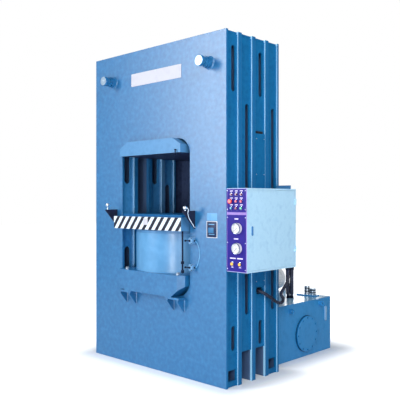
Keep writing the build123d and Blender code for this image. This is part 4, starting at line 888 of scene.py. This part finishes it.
GAUGE_X = SIDE_FACE + 122 * MM
GAUGE_RADIUS = 44 * MM
DIAL_START, DIAL_SWEEP = 225, 270
DIAL_MARKS, DIAL_NUMBERS = 50, 5
MARK_CIRCLE, NUMBER_CIRCLE = 36 * MM, 23 * MM
gauge_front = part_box("gauges")[0].y
dial_y = gauge_front + 12 * MM
print_y = dial_y - 0.3 * MM
rim_profile = [(38.6 * MM, -6 * MM), (44.6 * MM, -6 * MM), (44.6 * MM, 0), (42 * MM, 2.4 * MM),
               (39.4 * MM, 1.4 * MM)]
vent_plug = [(3.4 * MM, 0), (3.4 * MM, 4 * MM), (2 * MM, 5.5 * MM)]
boss_profile = [(4.6 * MM, 0), (4.6 * MM, 1.5 * MM), (3 * MM, 2.5 * MM)]
for name, level in GAUGE_LEVELS:
    rim = bmesh.new()
    turned(rim, (GAUGE_X, gauge_front, level), (0, -1, 0), rim_profile, 56, ring=True)
    turned(rim, (GAUGE_X, gauge_front + 15 * MM, level + GAUGE_RADIUS - MM), (0, 0, 1), vent_plug, 20)
    finish_mesh(f"gauge_rim_{name}", rim, chrome)
    ticks = bmesh.new()
    for step in range(DIAL_MARKS + 1):
        angle = math.radians(DIAL_START - DIAL_SWEEP * step / DIAL_MARKS)
        long_mark = step % 10 == 0
        inner = MARK_CIRCLE - (7 * MM if long_mark else 3.5 * MM)
        half_wide = 0.9 * MM if long_mark else 0.5 * MM
        outward = Vector((math.cos(angle), 0, math.sin(angle)))
        beside = Vector((-math.sin(angle), 0, math.cos(angle))) * half_wide
        middle = Vector((GAUGE_X, print_y, level))
        corners = [middle + outward * radius + beside * sign for radius, sign in
                   ((MARK_CIRCLE, -1), (MARK_CIRCLE, 1), (inner, 1), (inner, -1))]
        ticks.faces.new([ticks.verts.new(corner) for corner in corners])
    finish_mesh(f"dial_ticks_{name}", ticks, dial_ink)
    for step in range(DIAL_NUMBERS + 1):
        angle = math.radians(DIAL_START - DIAL_SWEEP * step / DIAL_NUMBERS)
        figure = bpy.data.curves.new(f"dial_number_{name}_{step}", "FONT")
        figure.body = str(step * 5)
        figure.size = 8.5 * MM
        figure.align_x = "CENTER"
        figure.align_y = "CENTER"
        figure.materials.append(dial_ink)
        number = bpy.data.objects.new(figure.name, figure)
        bpy.context.scene.collection.objects.link(number)
        number.rotation_euler = (math.radians(90), 0, 0)
        number.location = (GAUGE_X + NUMBER_CIRCLE * math.cos(angle), print_y,
                           level + NUMBER_CIRCLE * math.sin(angle))
        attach(number, "frame")

boss = bmesh.new()
for name, level in GAUGE_LEVELS:
    turned(boss, (GAUGE_X, dial_y - 5.5 * MM, level), (0, -1, 0), boss_profile, 24)
finish_mesh("needle_bosses", boss, chrome)


# Limit switch cover screws and glands, duct screws and seal, bare label on the board

cover_screw = [(3.4 * MM, 0), (3.4 * MM, 1.2 * MM), (2.2 * MM, 1.8 * MM)]
cable_gland = [(7 * MM, 0), (7 * MM, 7 * MM), (5 * MM, 10 * MM), (3.4 * MM, 10 * MM)]
COVER_HALF_HIGH = 21 * MM
covers = bmesh.new()
for level in (UPPER_SWITCH, LOWER_SWITCH):
    for x in (switch_low.x + 30 * MM, switch_high.x - 6 * MM):
        for z in (level - COVER_HALF_HIGH, level + COVER_HALF_HIGH):
            turned(covers, (x, switch_low.y, z), (0, -1, 0), cover_screw, 16)
    turned(covers, (switch_high.x, gland_y, level), (1, 0, 0), cable_gland, 16)
finish_mesh("switch_screws_and_glands", covers, black_oxide)

DUCT_SCREW_PITCH = 313.8 * MM
DUCT_SCREW_START = DUCT_LOW + 45 * MM
DUCT_SCREW_INSET = 12 * MM
pan_head = [(5 * MM, 0), (4.4 * MM, 0.8 * MM), (2 * MM, 1.3 * MM)]
duct_low, duct_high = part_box("cable_duct")
duct_screws = bmesh.new()
for z in [DUCT_SCREW_START + DUCT_SCREW_PITCH * step for step in range(5)]:
    for y in (duct_low.y + DUCT_SCREW_INSET, duct_high.y - DUCT_SCREW_INSET):
        turned(duct_screws, (duct_high.x - 0.4 * MM, y, z), (1, 0, 0), pan_head, 16)
finish_mesh("duct_screws", duct_screws, zinc)

duct_seal = bmesh.new()
slab(duct_seal, (WEB_FACE - 0.5 * MM, duct_low.y + 14 * MM, DUCT_HIGH + MM),
     (WEB_FACE + 14 * MM, duct_high.y - 30 * MM, DUCT_HIGH + 22 * MM), 2 * MM)
finish_mesh("duct_top_seal", duct_seal, seal_rubber)

BOARD_LABEL_Z = 1.375
BOARD_LABEL_SIDE = 60 * MM
board_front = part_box("hazard_board")[0].y
board_label = bmesh.new()
plaque(board_label, 0.0, BOARD_LABEL_Z, BOARD_LABEL_SIDE, BOARD_LABEL_SIDE, board_front, proud=1.2 * MM,
       edge=0.5 * MM)
finish_mesh("bare_board_label", board_label, sign_white, "platen")


# Tank: cover gasket, bands on the filler and breather, oil in the sight glass

MANHOLE_Y, MANHOLE_Z = 1.020, 0.227
cover_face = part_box("tank_body")[1].x - 61 * MM
gasket_section = [(165 * MM, 0), (181.5 * MM, 0), (181.5 * MM, 3 * MM), (165 * MM, 3 * MM)]
gasket = bmesh.new()
turned(gasket, (cover_face, MANHOLE_Y, MANHOLE_Z), (1, 0, 0), gasket_section, 72, ring=True)
finish_mesh("manhole_gasket", gasket, seal_rubber)

FILLER = Vector((0.597, 1.370, 0.562))
BREATHER = Vector((0.525, 1.370, 0.562))
BAND_HIGH = 8 * MM
for name, centre, radius, levels, body in (
    ("filler_bands", FILLER, 33 * MM, (22 * MM, 46 * MM), "cap"),
    ("breather_bands", BREATHER, 28 * MM, (30 * MM, 62 * MM), "frame"),
):
    sunk, proud = radius - 2 * MM, radius + 1.2 * MM
    band = [(sunk, 0), (proud, 0), (proud, BAND_HIGH), (sunk, BAND_HIGH)]
    bands = bmesh.new()
    for level in levels:
        turned(bands, centre + Vector((0, 0, level)), (0, 0, 1), band, 40, ring=True)
    finish_mesh(name, bands, black_oxide, body)

OIL_LOW, OIL_HIGH = 30 * MM, 88 * MM
OIL_HALF = 2.5 * MM
glass_low, glass_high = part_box("level_gauge")
middle_y = (glass_low.y + glass_high.y) / 2
oil = bmesh.new()
slab(oil, (glass_high.x - MM, middle_y - OIL_HALF, glass_low.z + OIL_LOW),
     (glass_high.x + 0.5 * MM, middle_y + OIL_HALF, glass_low.z + OIL_HIGH), 0.4 * MM)
finish_mesh("oil_column", oil, field_blue)


# Rounded arrises of the plates and housings

PLATE_ARRIS = 2.5 * MM
SHEET_ARRIS = 1.5 * MM


def soften(node, width):
    """Rounds the sharp edges of a CAD node by width."""
    join = nodes[node].modifiers.new("join", "WELD")
    join.merge_threshold = 0.02 * MM
    rounding = nodes[node].modifiers.new("arris", "BEVEL")
    rounding.width = width
    rounding.segments = 2
    rounding.limit_method = "ANGLE"
    rounding.angle_limit = math.radians(40)
    rounding.harden_normals = True


for node in PLATES + ("upper_platen", "cylinder_base", "moving_platen", "lower_bolster"):
    soften(node, PLATE_ARRIS)
for node in ("cabinet_door", "tank_body", "tank_lid", "guard_brackets", "support_brackets"):
    soften(node, SHEET_ARRIS)


# Floor, lights and camera

# Within SHADOW_REACH of the footprints the floor's added white fades down to FLOOR_LIFT: a painted shadow
FLOOR_LIFT = 0.05
SHADOW_REACH = 0.5
FLOOR_REACH = 30.0
FLOOR_LEVEL = -0.5 * MM
TALLER_THAN_ALL = 10.0
# Centre and half size of what stands on the floor: the frame and the tank
FOOTPRINTS = (((0.0, 0.0, 0.0), (0.89, 0.365, TALLER_THAN_ALL)),
              ((0.2825, 1.02, 0.0), (0.4625, 0.46, TALLER_THAN_ALL)))


def seen_white(tree):
    """1 for rays from the eye, which find plain white behind the object, and 0 for all others."""
    return add(tree, "ShaderNodeLightPath"), "Is Camera Ray"


def distance_from(tree, where, centre, half):
    """How far a point lies outside the block with this centre and half size."""
    offset = add(tree, "ShaderNodeVectorMath", {0: where, 1: centre}, operation="SUBTRACT")
    size = add(tree, "ShaderNodeVectorMath", {0: (offset, "Vector")}, operation="ABSOLUTE")
    beyond = add(tree, "ShaderNodeVectorMath", {0: (size, "Vector"), 1: half}, operation="SUBTRACT")
    outside = add(tree, "ShaderNodeVectorMath", {0: (beyond, "Vector"), 1: (0, 0, 0)}, operation="MAXIMUM")
    return add(tree, "ShaderNodeVectorMath", {0: (outside, "Vector")}, operation="LENGTH"), "Value"


def pale_floor():
    """A pale floor with a painted shadow: near the object the added white fades out, leaving a soft shadow
    and a thin contact line from the lit floor; plain white further off.
    """
    made = bpy.data.materials.new("pale_floor")
    made.use_nodes = True
    tree = made.node_tree
    tree.nodes.clear()
    where = position(tree)
    nearest = maths(tree, "MINIMUM", *[distance_from(tree, where, *footprint) for footprint in FOOTPRINTS])
    fade = add(tree, "ShaderNodeMapRange", {"Value": nearest, "From Min": 0.0, "From Max": SHADOW_REACH,
                                            "To Min": FLOOR_LIFT, "To Max": 1.0},
               interpolation_type="SMOOTHSTEP")
    amount = maths(tree, "MULTIPLY", (fade, "Result"), seen_white(tree))
    lit = add(tree, "ShaderNodeBsdfDiffuse", {"Color": linear("#E4EBF4")})
    white = add(tree, "ShaderNodeEmission", {"Color": (1, 1, 1, 1), "Strength": amount})
    total = add(tree, "ShaderNodeAddShader", {0: (lit, "BSDF"), 1: (white, "Emission")})
    add(tree, "ShaderNodeOutputMaterial", {"Surface": (total, "Shader")})
    mesh = bpy.data.meshes.new("floor")
    corners = [(x * FLOOR_REACH, y * FLOOR_REACH, FLOOR_LEVEL)
               for x, y in ((-1, -1), (1, -1), (1, 1), (-1, 1))]
    mesh.from_pydata(corners, [], [(0, 1, 2, 3)])
    mesh.materials.append(made)
    floor = bpy.data.objects.new("floor", mesh)
    bpy.context.scene.collection.objects.link(floor)


def studio_world(ambient):
    """White to the eye, a plain soft light for everything else."""
    world = bpy.data.worlds.new("pale_studio")
    world.use_nodes = True
    tree = world.node_tree
    tree.nodes.clear()
    light = add(tree, "ShaderNodeBackground", {"Color": (1, 1, 1, 1), "Strength": ambient})
    white = add(tree, "ShaderNodeBackground", {"Color": (1, 1, 1, 1), "Strength": 1.0})
    mix = add(tree, "ShaderNodeMixShader",
              {0: seen_white(tree), 1: (light, "Background"), 2: (white, "Background")})
    add(tree, "ShaderNodeOutputWorld", {"Surface": (mix, "Shader")})
    bpy.context.scene.world = world


def softbox(name, place_at, target, size, watts):
    """A soft lamp, size wide and high, at place_at and facing target."""
    lamp = bpy.data.lights.new(name, "AREA")
    lamp.shape = "RECTANGLE"
    lamp.size, lamp.size_y = size
    lamp.energy = watts
    made = bpy.data.objects.new(name, lamp)
    bpy.context.scene.collection.objects.link(made)
    made.location = place_at
    made.rotation_euler = (Vector(target) - Vector(place_at)).to_track_quat("-Z", "Y").to_euler()


EYE = (4.225, -4.178, 1.573)
LOOKS_TO = 43.64
LENS = 54.95


def camera():
    """The photograph's view: level, from the front right, at a standing adult's eye height."""
    data = bpy.data.cameras.new("camera")
    data.sensor_width = 36.0
    data.lens = LENS
    data.clip_end = 200.0
    made = bpy.data.objects.new("camera", data)
    bpy.context.scene.collection.objects.link(made)
    made.location = EYE
    made.rotation_euler = (math.radians(90), 0, math.radians(LOOKS_TO))
    bpy.context.scene.camera = made


pale_floor()
studio_world(0.3)
softbox("front_softbox", (-3.0, -5.6, 3.9), (0.7, -0.4, 1.9), (2.1, 5.4), 345)
softbox("key_softbox", (3.4, -5.2, 2.6), (0.1, -0.2, 1.4), (1.6, 1.6), 60)
softbox("barrel_softbox", (2.1, -5.2, 0.75), (0.25, -0.4, 1.1), (1.0, 1.4), 70)
softbox("barrel_strip", (3.75, -4.1, 0.62), (0.3, -0.3, 1.1), (0.3, 0.8), 14)
softbox("side_softbox", (4.8, -2.0, 4.4), (0.9, 0.2, 1.3), (2.2, 2.2), 155)
softbox("lid_softbox", (-3.4, 6.2, 1.7), (0.4, 1.0, 0.56), (1.6, 1.4), 30)
camera()

bpy.context.scene.view_settings.view_transform = "Standard"
